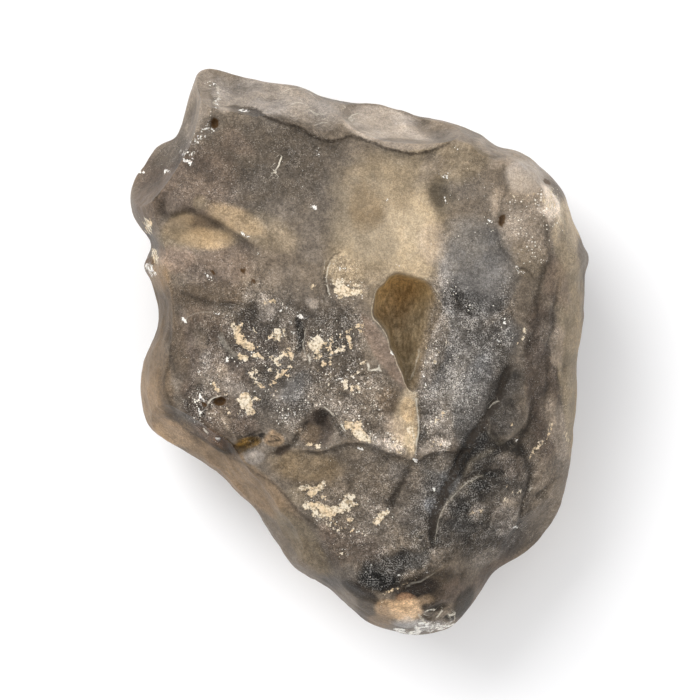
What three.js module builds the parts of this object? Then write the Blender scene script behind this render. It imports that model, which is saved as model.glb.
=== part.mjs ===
// A hand-sized lump of Libyan desert glass, wind-worn and frosted, lying on its back.
// It formed as one piece, so it is one solid: a flat-topped front face inside a shoulder line,
// flanks that roll over to the widest line, and a rounder back with one flat place to rest on.
// Units are millimetres. X runs across the stone, Y along it to the horn, and Z up to the front.

import * as THREE from "three";
import { mergeVertices } from "three/addons/utils/BufferGeometryUtils.js";

// Driving dimensions
const LENGTH = 60.9;
const WIDTH = 49.3;
const THICKNESS = 25;

// How high the front stands over the widest line, and how high its shoulder is
const FRONT_CROWN = 12.4;
const FRONT_SHOULDER = 9.6;
const BACK_CROWN = 12.6;
// How much of the back is pressed flat, and how boxy its section is
const REST_FLAT = 0.75;
const BACK_BOXINESS = 2.5;

// Rows of triangles along each edge of the ball that the stone is shaped from
const ROWS = 21;
// Share of the triangles that lie on the front
const FRONT_SHARE = 0.68;
// How wide the step of a ledge is
const STEP_WIDTH = 1.5;

const GLASS = { colour: 0x6b655a, roughness: 0.55 };

// The widest line of the stone, seen from the front and walked anticlockwise from the right side
const OUTLINE = [
  [23.5, -1.5], [23.9, 1.4], [24.2, 4.6], [24.25, 8.2], [24.65, 10.2], [24.0, 11.7],
  [23.1, 13.6], [22.5, 15.4], [22.0, 17.0], [21.2, 18.3], [20.1, 19.4], [18.6, 20.8],
  [17.1, 21.6], [15.3, 21.95], [14.2, 22.5], [13.1, 23.45], [11.7, 24.05], [10.0, 24.6],
  [8.2, 25.0], [6.3, 25.3], [4.8, 25.8], [3.2, 26.3], [1.4, 26.7], [-1.0, 26.85],
  [-3.2, 27.2], [-5.2, 27.9], [-7.3, 28.7], [-9.6, 28.95], [-12.0, 29.4], [-14.2, 29.95],
  [-15.2, 30.3], [-16.2, 30.45], [-17.2, 30.1], [-17.8, 29.0], [-18.4, 27.0], [-18.9, 25.0],
  [-19.3, 23.9], [-20.0, 23.0], [-21.2, 22.4], [-22.3, 21.5], [-23.3, 20.1], [-24.2, 18.6],
  [-24.65, 16.6], [-24.4, 14.8], [-23.5, 13.3], [-22.6, 12.3], [-22.35, 11.2], [-22.8, 10.1],
  [-23.2, 9.0], [-22.6, 7.6], [-21.9, 5.8], [-21.7, 3.8], [-22.1, 2.0], [-22.9, 0.3],
  [-23.5, -1.8], [-23.7, -3.8], [-23.4, -6.0], [-22.6, -8.0], [-21.2, -9.2], [-19.2, -10.4],
  [-16.9, -11.6], [-15.0, -13.0], [-13.0, -15.0], [-10.8, -17.6], [-8.8, -20.6], [-7.2, -22.9],
  [-5.5, -24.1], [-3.6, -25.3], [-1.6, -27.0], [0.5, -28.6], [3.0, -29.7], [5.8, -30.4],
  [8.2, -30.2], [9.9, -29.6], [11.5, -27.9], [13.0, -25.9], [14.3, -23.9], [16.2, -22.5],
  [18.6, -21.0], [20.1, -19.2], [21.5, -16.7], [22.3, -14.0], [22.9, -10.8], [23.2, -7.0],
];

// The shoulder line, where the front face folds over into the flanks, walked the same way
const SHOULDER = [
  [18.5, 1.0], [19.2, 4.5], [20.0, 8.5], [20.3, 12.5], [20.0, 16.0], [18.6, 18.6],
  [16.2, 20.2], [13.6, 21.4], [11.0, 23.0], [9.2, 22.7], [7.2, 21.6], [5.0, 21.4],
  [2.4, 21.9], [-0.4, 22.7], [-3.0, 22.9], [-5.6, 23.7], [-8.4, 24.8], [-11.0, 25.8],
  [-13.6, 26.2], [-15.6, 26.2], [-16.4, 25.0], [-17.8, 23.3], [-19.6, 21.6], [-21.6, 19.8],
  [-22.3, 17.4], [-22.0, 14.5], [-21.0, 11.5], [-20.9, 8.5], [-20.0, 5.0], [-20.1, 1.5],
  [-20.8, -2.0], [-20.5, -5.0], [-19.0, -7.8], [-16.6, -9.8], [-13.6, -11.2], [-11.0, -12.4],
  [-9.2, -13.8], [-7.2, -16.0], [-5.2, -18.2], [-3.6, -20.6], [-1.8, -23.2], [0.6, -25.3],
  [3.2, -25.7], [6.0, -24.2], [8.8, -22.6], [9.4, -20.4], [9.6, -17.6], [10.6, -14.4],
  [12.4, -11.2], [14.2, -7.8], [15.8, -4.4], [17.4, -1.4],
];

// Rolling of the widest line up and down the flank: waves around the stone, lift and start in degrees
const GIRDLE_WAVES = [
  { waves: 1, lift: 1.3, start: 60 },
  { waves: 2, lift: 1.1, start: 150 },
  { waves: 3, lift: 0.7, start: 20 },
];

// The teardrop hollow in the middle of the front. Its walls drop steeply from the rim, except on
// the right, where the floor starts at a foot line as a shallow ramp and bends down from there.
// It leans left as it goes down.
const HOLLOW = {
  rim: [
    [4.5, 8.45], [3.6, 8.3], [3.1, 8], [2.6, 7.4], [2, 6.9], [1.65, 6.1], [1.45, 5], [1.4, 4.2],
    [1.6, 3.5], [2, 3.1], [2.55, 2.5], [2.95, 1.9], [3.15, 1.1], [3.35, 0.3], [3.85, -0.4],
    [4.2, -1.4], [4.65, -2.4], [4.95, -3.3], [5.3, -3.95], [5.85, -4.25], [6.4, -3.95],
    [6.75, -3.1], [7.05, -1.8], [7.5, 0], [8.1, 1.8], [8.75, 3.4], [9.1, 4.6], [8.85, 5.4],
    [8.4, 6.2], [7.9, 6.95], [7.2, 7.5], [6.2, 7.95],
  ],
  depth: 6.6,
  wallSlope: 5,
  ramp: { slope: 0.45, bend: 0.55, foot: [[6.6, -4.4], [9, 5.6]] },
  lean: [-0.12, 0.06],
  // Triangles within reach of its middle are drawn towards it, so that it is cut more finely
  middle: [5, 2.4],
  gather: { reach: 12.5, pull: 0.42 },
  rimSnap: 0.5,
};

// Ledges of the front. The left-hand side of each line, walked in order, is the high side.
// rise and fall are how far the two sides stand off, and over and under how far they reach.
const LEDGES = [
  {
    name: "lip under the top bevel",
    rise: 0.08, fall: 0.26, over: 2.2, under: 1.8,
    line: [[-15.6, 25.9], [-14.1, 26.1], [-12.5, 25.9], [-10.7, 25.6], [-9.2, 24.9], [-7.1, 24.2],
      [-5.5, 23.4], [-4.2, 22.7], [-2.6, 22.5], [-0.7, 22.8], [1.3, 22.3], [3.5, 21.7],
      [5.5, 21.3], [6.9, 21.4], [8.5, 22], [10.2, 22.9], [11.2, 23.3]],
  },
  {
    name: "brow over the left glow",
    rise: 0.3, fall: 0.42, over: 2, under: 1.8,
    line: [[-21.3, 17.4], [-20.9, 16], [-20.4, 14.6], [-19.4, 15], [-17.8, 15.1], [-16.2, 14.5],
      [-14.6, 13.7], [-13.1, 12.6], [-11.9, 11.5], [-10.7, 10.4]],
  },
  {
    name: "left shelf",
    rise: 0.12, fall: 0.22, over: 1.6, under: 1.5,
    line: [[-20, 6.4], [-18, 6.2], [-16.9, 5.9], [-14.9, 5.4], [-12.3, 5], [-10.2, 5.3]],
  },
  {
    name: "lower edge of the middle face",
    rise: 0.15, fall: 0.36, over: 2, under: 2.2,
    line: [[-8, -11], [-6, -10.6], [-4, -10.6], [-2, -10], [0, -9.8], [1.8, -10.2],
      [3.2, -10.9], [5, -11.4], [5.9, -11.6], [6.6, -11.5], [7.5, -11], [8.7, -10.7],
      [10.6, -10.8], [11.8, -9.9], [13, -8.8]],
  },
  {
    name: "facet edge below the hollow",
    rise: 0.22, fall: 0.35, over: 1.3, under: 1.2,
    line: [[6.1, -11.2], [6.1, -9], [6.05, -6.6], [5.95, -4.6]],
  },
  {
    name: "edge of the triangular dent",
    rise: 0.2, fall: 0.38, over: 1.2, under: 1.2,
    line: [[-4.3, -5.9], [-3.2, -6.7], [-2.2, -7.9], [-1.1, -9.4]],
  },
  {
    name: "crescent lip",
    rise: 0.22, fall: 0.25, over: 0.9, under: 1,
    line: [[-15.2, 3.2], [-14.9, 2.4], [-14.1, 0.6], [-13.2, -0.4], [-12.1, -1]],
  },
  {
    name: "left edge of the flaked oval",
    rise: 0.2, fall: 0.28, over: 1.1, under: 1.1,
    line: [[-4.6, 3.9], [-5.8, 3.5], [-6.1, 2.2], [-5.9, 1.1], [-5.5, -0.2]],
  },
  {
    name: "big valley beside the lobes",
    rise: 0.24, fall: 0.42, over: 1.8, under: 2.2,
    line: [[17.3, -1], [16.2, -1.7], [15.5, -2.8], [15.1, -4], [14.7, -5.1], [13.9, -6.5],
      [13.1, -8], [12, -9.4], [11.1, -11], [10.5, -12.5], [9.9, -13.8], [9.1, -15.3],
      [8.4, -16.7], [7.9, -18.2], [7.8, -19.6], [8.1, -21.1]],
  },
  {
    name: "left edge of the round scar",
    rise: 0.18, fall: 0.2, over: 1.4, under: 1.4,
    line: [[12.5, 3.4], [11.6, 4.2], [10.7, 5.1], [9.8, 6.5], [8.8, 7.8]],
  },
  {
    name: "right edge of the round scar",
    rise: 0.18, fall: 0.2, over: 1.4, under: 1.4,
    line: [[17.8, 8.2], [16.6, 6.7], [15.4, 4.9], [14, 3.9], [12.7, 3.3]],
  },
  {
    name: "ridge over the worn tip",
    rise: 0.22, fall: 0.45, over: 1, under: 2,
    line: [[10.8, -22.2], [9.6, -22.7], [8.1, -23.2], [6.7, -24], [4.8, -24.8], [3.1, -25.3],
      [2.2, -25.9]],
  },
];

// Grooves: depth, and how wide each side of the V is
const GROOVES = [
  { name: "right fold", depth: 0.25, width: 0.8,
    line: [[20.2, 15], [20.1, 11.8], [20.3, 10.8], [20.1, 9.3], [19.3, 7], [19, 5.4], [18.9, 4],
      [18.5, 2.3], [18.1, 0.8], [17.8, -0.3], [17, -1.2]] },
  { name: "crease beside the right knob", depth: 0.22, width: 0.6,
    line: [[15.3, 21.2], [15.3, 19.4], [15.7, 17.5], [15.3, 15.8], [14.7, 13.5], [14.8, 11.9],
      [15.3, 10.7], [16.4, 9.6], [16.9, 8.6]] },
  { name: "crease down the lower basin", depth: 0.22, width: 0.6,
    line: [[5.9, -11.9], [5, -13.4], [4.2, -14.8], [3.6, -15.9], [3.2, -17.4]] },
  { name: "amber notch", depth: 0.7, width: 0.7,
    line: [[-15.6, -9.2], [-14.6, -9.9], [-13.2, -10.3], [-11.8, -9.9], [-10.4, -9.3]] },
  { name: "hook beside the notch", depth: 0.24, width: 0.5,
    line: [[-8.8, -11.2], [-7.9, -10.3], [-7.1, -9.5], [-6.1, -8.1], [-5.4, -6.9]] },
  { name: "right band, inner crease", depth: 0.18, width: 0.6,
    line: [[21.7, 9], [21.1, 5.4], [20.6, 1.8], [20.1, 0], [20.1, -2], [20.1, -4], [19.8, -7]] },
  { name: "right band, outer crease", depth: 0.12, width: 0.5,
    line: [[22.6, 5.4], [22.4, 2.5], [22.2, -1.4], [21.6, -6], [21.3, -10.5], [20.7, -13.6]] },
  { name: "lower right crease", depth: 0.26, width: 0.6,
    line: [[18.9, -4.4], [18.5, -5.9], [18.1, -7.6], [17.4, -9.2], [17.4, -10.6], [18.3, -12],
      [18.1, -13.6], [17.8, -15.2], [17.3, -17], [17.1, -18.8], [16.3, -19.7], [15.2, -20.7],
      [13.9, -21.8]] },
  { name: "branch of the lower right crease", depth: 0.16, width: 0.5,
    line: [[22.1, -13], [19.9, -14.8], [17.8, -16.9]] },
  { name: "foot of the upper lobe", depth: 0.16, width: 0.4,
    line: [[14.2, -7.6], [14.2, -8.8], [14.8, -9.8], [15.8, -9.9], [16.8, -9.2], [17.6, -7.8]] },
  { name: "foot of the small lobe", depth: 0.16, width: 0.35,
    line: [[10.6, -14], [11.6, -13.4], [13, -12.8], [14.4, -12.6], [15.6, -13]] },
];

// Dabs are shallow bowls (rise below zero) and lumps, each an oval seen from the front.
// edge is how soft its rim is: 1 is crisp and 2 fades out. turn is in degrees.
const DABS = [
  { name: "upper left basin", at: [-8.4, 20.2], size: [8.6, 4.4], turn: -14, rise: -0.7, edge: 1.4 },
  { name: "pale swell over the hollow", at: [3.6, 13.5], size: [5.8, 6], turn: 0, rise: 0.4, edge: 2 },
  { name: "dip beside the swell", at: [8.4, 16.4], size: [1.8, 3.4], turn: 0, rise: -0.25, edge: 1.6 },
  { name: "round scar", at: [12.8, 8.8], size: [4.1, 5.5], turn: 6, rise: -0.65, edge: 1 },
  { name: "right knob", at: [17.6, 18.6], size: [3, 3.4], turn: 0, rise: 0.6, edge: 2 },
  { name: "right cheek", at: [17.4, 12.6], size: [2.8, 3.8], turn: 0, rise: 0.4, edge: 2 },
  { name: "lower basin", at: [-0.6, -17], size: [8.4, 7.4], turn: 24, rise: -1.1, edge: 1.3 },
  { name: "basin beside the valley", at: [7, -15.4], size: [2.6, 4.6], turn: -28, rise: -0.45, edge: 1.5 },
  { name: "left oval dish", at: [-16.9, 1.2], size: [2, 3.4], turn: 8, rise: -0.4, edge: 1 },
  { name: "crusted dish", at: [-11.4, 1.2], size: [3.6, 3.2], turn: -30, rise: -0.3, edge: 1 },
  { name: "grey dish", at: [-8.4, -4], size: [3.2, 3.4], turn: 20, rise: -0.3, edge: 1.2 },
  { name: "lower left mound", at: [-13.4, -6.4], size: [3.4, 3], turn: 20, rise: 0.4, edge: 2 },
  { name: "round flake", at: [-1.1, 8.2], size: [2.7, 2.8], turn: 0, rise: -0.35, edge: 1 },
  { name: "flaked oval", at: [-2.8, 1.4], size: [3.3, 2.9], turn: 20, rise: -0.28, edge: 1 },
  { name: "bowl of the left glow", at: [-17, 12.2], size: [4, 1.8], turn: -4, rise: -0.7, edge: 1.5 },
  { name: "rolled brow", at: [-15, 16.6], size: [4.6, 1.8], turn: -18, rise: 0.35, edge: 2 },
  { name: "triangular dent", at: [-4.5, -8.5], size: [1.9, 2.7], turn: 0, rise: -0.6, edge: 1.2 },
  { name: "slope into the hollow", at: [8.2, 1], size: [2.4, 6.2], turn: 6, rise: -1.1, edge: 1.6 },
  { name: "upper lobe", at: [16.2, -6.2], size: [1.8, 3.8], turn: -20, rise: 0.5, edge: 1 },
  { name: "large lobe", at: [13.3, -17.4], size: [5.2, 4.4], turn: 24, rise: 0.55, edge: 1.1 },
  { name: "small lobe above it", at: [14.4, -11.6], size: [2.6, 1.7], turn: -12, rise: 0.3, edge: 1.2 },
  { name: "corner lobe", at: [19, -17.4], size: [1.8, 2.2], turn: -20, rise: 0.35, edge: 1.4 },
  { name: "small dark dome", at: [16.4, 1.8], size: [1.5, 2.2], turn: -10, rise: 0.3, edge: 1.2 },
  { name: "facet on the right band", at: [21.2, 0.5], size: [1.1, 2.1], turn: 0, rise: -0.25, edge: 1 },
  { name: "chip on the worn tip", at: [8.7, -28], size: [2.1, 1.2], turn: 10, rise: -0.6, edge: 1 },
  { name: "right bead on the tip", at: [5.1, -27.3], size: [1.4, 1.3], turn: 0, rise: 0.3, edge: 1.2 },
  { name: "left bead on the tip", at: [2.7, -27.3], size: [1.4, 1.2], turn: 0, rise: 0.25, edge: 1.2 },
];

// Worn dishes on the flanks and the back. Each is cut by a ball of the given radius that bites
// to the point bottom and comes from the direction out.
const BITES = [
  { name: "left bevel scallop", bottom: [-10.5, 27.7, 5], out: [0, 0.88, 0.475], radius: 30 },
  { name: "right bevel scallop", bottom: [4.6, 24, 4.6], out: [0.1, 0.86, 0.5], radius: 14 },
  { name: "horn flank", bottom: [-18.4, 25.2, 3.4], out: [-0.9, 0.2, 0.36], radius: 17 },
  { name: "left flank dish", bottom: [-21.2, 4.2, -2.6], out: [-0.95, 0, -0.3], radius: 9 },
  { name: "lower left bevel", bottom: [-12.6, -15.2, 2.4], out: [-0.68, -0.6, 0.42], radius: 46 },
  { name: "lower right bevel", bottom: [17.4, -19.6, 0.6], out: [0.7, -0.6, 0.38], radius: 30 },
  { name: "right flank dish", bottom: [22.6, 3, -3.4], out: [0.93, 0, -0.36], radius: 22 },
  { name: "top flank dish", bottom: [2, 24.4, -4.6], out: [0, 0.9, -0.44], radius: 16 },
  { name: "tip flank dish", bottom: [4, -27, -5], out: [-0.1, -0.86, -0.5], radius: 12 },
  { name: "back, upper left dish", bottom: [-11.5, 12, -10.2], out: [-0.34, 0.3, -0.89], radius: 19 },
  { name: "back, upper right dish", bottom: [11.4, 12.6, -10.3], out: [0.36, 0.3, -0.88], radius: 16 },
  { name: "back, lower left dish", bottom: [-12.4, -4.4, -10.2], out: [-0.5, -0.12, -0.86], radius: 14 },
  { name: "back, lower right dish", bottom: [12.4, -11, -9.9], out: [0.44, -0.24, -0.87], radius: 17 },
  { name: "back, tip dish", bottom: [1, -18.6, -10], out: [0, -0.42, -0.91], radius: 13 },
];

const smoothstep = THREE.MathUtils.smoothstep;
const toRadians = THREE.MathUtils.degToRad;

// The radius of a closed outline at each plan angle, read off a smooth curve through its points.
function radiusReader(points) {
  const samples = 900;
  const curve = new THREE.CatmullRomCurve3(
    points.map(([x, y]) => new THREE.Vector3(x, y, 0)),
    true,
    "catmullrom",
    0.5,
  );
  const ring = curve
    .getPoints(samples)
    .map((p) => [Math.atan2(p.y, p.x), Math.hypot(p.x, p.y)])
    .sort((a, b) => a[0] - b[0]);
  const turn = 2 * Math.PI;
  const last = ring.length - 1;
  const closed = [[ring[last][0] - turn, ring[last][1]], ...ring, [ring[0][0] + turn, ring[0][1]]];
  return (anyAngle) => {
    const angle = anyAngle > Math.PI ? anyAngle - turn : anyAngle;
    let low = 0;
    let high = closed.length - 1;
    while (high - low > 1) {
      const middle = (low + high) >> 1;
      if (closed[middle][0] <= angle) low = middle;
      else high = middle;
    }
    const [a, b] = [closed[low], closed[high]];
    const share = (angle - a[0]) / Math.max(b[0] - a[0], 1e-9);
    return a[1] + (b[1] - a[1]) * share;
  };
}

const outlineRadius = radiusReader(OUTLINE);
const shoulderRadius = radiusReader(SHOULDER);

function girdleLift(angle) {
  return GIRDLE_WAVES.reduce(
    (sum, w) => sum + w.lift * Math.cos(w.waves * angle - toRadians(w.start)),
    0,
  );
}

// The even walk: from a share of the half-ball's area to a share of the way from the crown down to
// the widest line, so that triangles come out about equal on the face and on the flank.
const FACE_REACH = 20;
const FLANK_REACH = 12;
const FLANK_RADIUS = 23;
function evenWalk(share) {
  const face = Math.PI * FACE_REACH ** 2;
  const flank = 2 * Math.PI * FLANK_RADIUS * FLANK_REACH;
  const area = share * (face + flank);
  const walked =
    area < face
      ? Math.sqrt(area / Math.PI)
      : FACE_REACH + (area - face) / (2 * Math.PI * FLANK_RADIUS);
  return walked / (FACE_REACH + FLANK_REACH);
}

// The front: a low dome as far as the shoulder, then a flank that starts at a slope and ends upright.
function domeHeight(radius, shoulder) {
  return FRONT_SHOULDER + (FRONT_CROWN - FRONT_SHOULDER) * (1 - (radius / shoulder) ** 2.4);
}

function frontPoint(angle, walk) {
  const outer = outlineRadius(angle);
  const shoulder = Math.min(shoulderRadius(angle), outer * 0.93);
  const flankLength = 1.15 * Math.hypot(outer - shoulder, FRONT_SHOULDER);
  const fold = shoulder / (shoulder + flankLength);
  if (walk < fold) return facePoint(angle, (shoulder * walk) / fold);
  const straight = 0.35;
  const bend = (((walk - fold) / (1 - fold)) * Math.PI) / 2;
  const radius = shoulder + (outer - shoulder) * Math.sin(bend);
  const z = FRONT_SHOULDER * (straight * (1 - Math.sin(bend)) + (1 - straight) * Math.cos(bend));
  return new THREE.Vector3(radius * Math.cos(angle), radius * Math.sin(angle), z);
}

// A point of the face, drawn in towards the hollow where it is near enough.
function facePoint(angle, radius) {
  const { reach, pull } = HOLLOW.gather;
  const middle = new THREE.Vector2(...HOLLOW.middle);
  const plan = new THREE.Vector2(radius * Math.cos(angle), radius * Math.sin(angle)).sub(middle);
  plan.multiplyScalar(1 - pull * (1 - smoothstep(plan.length(), 0, reach))).add(middle);
  const shoulder = Math.min(shoulderRadius(plan.angle()), outlineRadius(plan.angle()) * 0.93);
  return new THREE.Vector3(plan.x, plan.y, domeHeight(plan.length(), shoulder));
}

// The back: a boxy round section.
function backPoint(angle, walk) {
  const outer = outlineRadius(angle);
  const bend = (walk * Math.PI) / 2;
  const size = (Math.sin(bend) ** BACK_BOXINESS + Math.cos(bend) ** BACK_BOXINESS) ** (1 / BACK_BOXINESS);
  const radius = (outer * Math.sin(bend)) / size;
  return new THREE.Vector3(
    radius * Math.cos(angle),
    radius * Math.sin(angle),
    (-BACK_CROWN * Math.cos(bend)) / size,
  );
}

function bodyPoint(direction) {
  const angle = Math.atan2(direction.y, direction.x);
  const depth = (1 - direction.z) / 2;
  const inFront = depth < FRONT_SHARE;
  const walk = inFront
    ? evenWalk(depth / FRONT_SHARE)
    : evenWalk((1 - depth) / (1 - FRONT_SHARE));
  const point = inFront ? frontPoint(angle, walk) : backPoint(angle, walk);
  const out = Math.hypot(point.x, point.y) / outlineRadius(angle);
  point.z += girdleLift(angle) * out ** 3;
  return point;
}

// A line on the front as a run of short segments with the length walked so far.
function trace(points, closed = false) {
  const curve = new THREE.CatmullRomCurve3(
    points.map(([x, y]) => new THREE.Vector3(x, y, 0)),
    closed,
    "catmullrom",
    0.5,
  );
  const run = curve.getPoints(points.length * 5);
  const lengths = [0];
  for (let i = 1; i < run.length; i++) lengths.push(lengths[i - 1] + run[i].distanceTo(run[i - 1]));
  return { run, lengths, total: lengths[lengths.length - 1] };
}

// Where (x, y) lies beside a traced line: its distance, above zero on the left-hand side, and how
// much of the line's strength is left near its ends.
function beside(traced, x, y) {
  let best = { distance: Infinity };
  for (let i = 1; i < traced.run.length; i++) {
    const [a, b] = [traced.run[i - 1], traced.run[i]];
    const [dx, dy] = [b.x - a.x, b.y - a.y];
    const share = THREE.MathUtils.clamp(
      ((x - a.x) * dx + (y - a.y) * dy) / (dx * dx + dy * dy), 0, 1);
    const [px, py] = [x - a.x - share * dx, y - a.y - share * dy];
    const distance = Math.hypot(px, py);
    if (distance < best.distance) {
      const walked = traced.lengths[i - 1] + share * Math.hypot(dx, dy);
      best = { distance, side: Math.sign(dx * py - dy * px) || 1, walked };
    }
  }
  const fade = 0.16 * traced.total;
  const strength =
    smoothstep(best.walked, 0, fade) * smoothstep(traced.total - best.walked, 0, fade);
  return { ...best, signed: best.side * best.distance, strength };
}

const ledges = LEDGES.map((ledge) => ({ ...ledge, traced: trace(ledge.line) }));
const grooves = GROOVES.map((groove) => ({ ...groove, traced: trace(groove.line) }));

// How far (x, y) is inside the rim of the teardrop, above zero inside. The rim runs anticlockwise.
const hollowRim = trace(HOLLOW.rim, true);
function insideHollow(x, y) {
  return beside(hollowRim, x, y).signed;
}

// Brings a point that is close to the rim of the teardrop onto the rim.
function snappedToRim(x, y) {
  const inside = insideHollow(x, y);
  if (Math.abs(inside) > HOLLOW.rimSnap) return [x, y];
  const step = 0.01;
  const gx = (insideHollow(x + step, y) - inside) / step;
  const gy = (insideHollow(x, y + step) - inside) / step;
  return [x - gx * inside, y - gy * inside];
}

// The floor is as deep as the wall, the ramp and the full depth allow, with the corners rounded.
function hollowDepth(x, y) {
  const inside = insideHollow(x, y);
  if (inside <= 0) return 0;
  const { slope, bend, foot } = HOLLOW.ramp;
  const [[ax, ay], [bx, by]] = foot;
  const beyond = ((by - ay) * (ax - x) - (bx - ax) * (ay - y)) / Math.hypot(bx - ax, by - ay);
  const fromFoot = Math.max(beyond, 0.03);
  const wall = HOLLOW.wallSlope * inside;
  const ramp = slope * fromFoot + bend * fromFoot ** 2;
  return (wall ** -3 + ramp ** -3 + HOLLOW.depth ** -3) ** (-1 / 3);
}

function ledgeRelief(x, y) {
  let relief = 0;
  for (const { traced, rise, fall, over, under } of ledges) {
    const { signed, distance, strength } = beside(traced, x, y);
    const above = smoothstep(signed, -STEP_WIDTH / 2, STEP_WIDTH / 2);
    const high = above * rise * Math.exp(-distance / over);
    const low = (1 - above) * fall * Math.exp(-distance / under);
    relief += strength * (high - low);
  }
  return relief;
}

function grooveRelief(x, y) {
  let relief = 0;
  for (const { traced, depth, width } of grooves) {
    const { distance, strength } = beside(traced, x, y);
    relief -= strength * depth * Math.exp(-distance / width);
  }
  return relief;
}

function dabRelief(x, y) {
  let relief = 0;
  for (const { at, size, turn, rise, edge } of DABS) {
    const [c, s] = [Math.cos(toRadians(turn)), Math.sin(toRadians(turn))];
    const [dx, dy] = [x - at[0], y - at[1]];
    const inner = 1 - ((dx * c + dy * s) / size[0]) ** 2 - ((dy * c - dx * s) / size[1]) ** 2;
    if (inner > 0) relief += rise * inner ** edge;
  }
  return relief;
}

// Cuts a dish: a vertex inside the ball is pushed straight out from its centre to its skin.
function bite(point, { bottom, out, radius }) {
  const centre = new THREE.Vector3(...out).normalize().multiplyScalar(radius)
    .add(new THREE.Vector3(...bottom));
  const offset = point.clone().sub(centre);
  if (offset.length() < radius) point.copy(centre).addScaledVector(offset.normalize(), radius);
}

// Shapes the front's ledges, grooves, dabs and hollow on a body whose normals are known.
function carveFront(geometry) {
  const { position, normal } = geometry.attributes;
  for (let i = 0; i < position.count; i++) {
    const point = new THREE.Vector3().fromBufferAttribute(position, i);
    const angle = Math.atan2(point.y, point.x);
    const out = Math.hypot(point.x, point.y) / outlineRadius(angle);
    if (point.z - girdleLift(angle) * out ** 3 <= 0) continue;
    const keepRim = smoothstep(1 - out, 0.01, 0.1);
    const [x, y] = snappedToRim(point.x, point.y);
    point.x = x;
    point.y = y;
    const relief = keepRim * (ledgeRelief(x, y) + grooveRelief(x, y) + dabRelief(x, y));
    point.addScaledVector(new THREE.Vector3().fromBufferAttribute(normal, i), relief);
    const depth = hollowDepth(x, y);
    point.x += HOLLOW.lean[0] * depth;
    point.y += HOLLOW.lean[1] * depth;
    point.z -= depth;
    position.setXYZ(i, point.x, point.y, point.z);
  }
}

function carveFlanksAndBack(geometry) {
  const { position } = geometry.attributes;
  const floor = REST_FLAT - BACK_CROWN;
  for (let i = 0; i < position.count; i++) {
    const point = new THREE.Vector3().fromBufferAttribute(position, i);
    BITES.forEach((cut) => bite(point, cut));
    position.setXYZ(i, point.x, point.y, Math.max(point.z, floor));
  }
}

// Puts the stone on its flat, centred over the origin, at exactly its driving dimensions.
function setSize(geometry) {
  geometry.computeBoundingBox();
  const { min, max } = geometry.boundingBox;
  geometry.translate(-(min.x + max.x) / 2, -(min.y + max.y) / 2, -min.z);
  geometry.scale(WIDTH / (max.x - min.x), LENGTH / (max.y - min.y), THICKNESS / (max.z - min.z));
}

function stoneGeometry() {
  const ball = new THREE.IcosahedronGeometry(1, ROWS);
  ball.deleteAttribute("normal");
  ball.deleteAttribute("uv");
  const geometry = mergeVertices(ball, 1e-5);
  const { position } = geometry.attributes;
  for (let i = 0; i < position.count; i++) {
    const direction = new THREE.Vector3().fromBufferAttribute(position, i).normalize();
    const point = bodyPoint(direction);
    position.setXYZ(i, point.x, point.y, point.z);
  }
  geometry.computeVertexNormals();
  carveFlanksAndBack(geometry);
  geometry.computeVertexNormals();
  carveFront(geometry);
  setSize(geometry);
  geometry.computeVertexNormals();
  return geometry;
}

const stone = new THREE.Mesh(
  stoneGeometry(),
  new THREE.MeshStandardMaterial({ color: GLASS.colour, roughness: GLASS.roughness, metalness: 0 }),
);
stone.name = "desert_glass";

const model = new THREE.Group();
model.add(stone);

export default model;
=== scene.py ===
import itertools
import math

import bpy
import numpy as np
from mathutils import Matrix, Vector, kdtree


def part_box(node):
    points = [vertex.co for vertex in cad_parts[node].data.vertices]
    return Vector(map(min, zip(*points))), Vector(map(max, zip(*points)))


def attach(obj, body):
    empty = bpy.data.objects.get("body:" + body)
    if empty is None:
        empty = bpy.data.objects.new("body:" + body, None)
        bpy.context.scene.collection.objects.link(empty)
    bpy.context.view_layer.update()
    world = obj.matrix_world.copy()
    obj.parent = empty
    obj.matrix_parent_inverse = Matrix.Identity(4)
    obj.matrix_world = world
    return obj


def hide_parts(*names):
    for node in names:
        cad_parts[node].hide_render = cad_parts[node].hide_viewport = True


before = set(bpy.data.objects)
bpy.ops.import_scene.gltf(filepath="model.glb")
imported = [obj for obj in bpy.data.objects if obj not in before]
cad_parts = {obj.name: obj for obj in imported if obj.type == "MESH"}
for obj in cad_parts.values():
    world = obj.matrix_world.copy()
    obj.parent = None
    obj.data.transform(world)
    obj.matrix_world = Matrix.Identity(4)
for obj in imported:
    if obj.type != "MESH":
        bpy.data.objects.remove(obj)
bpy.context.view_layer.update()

# The stone
# One lump of natural glass, melted from desert sand, broken, and then worn by blown sand.
# It is solid all through: a flat-topped front face, flanks that roll over to the widest line,
# and a rounder back. Lengths here are in millimetres until the mesh is made.

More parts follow.
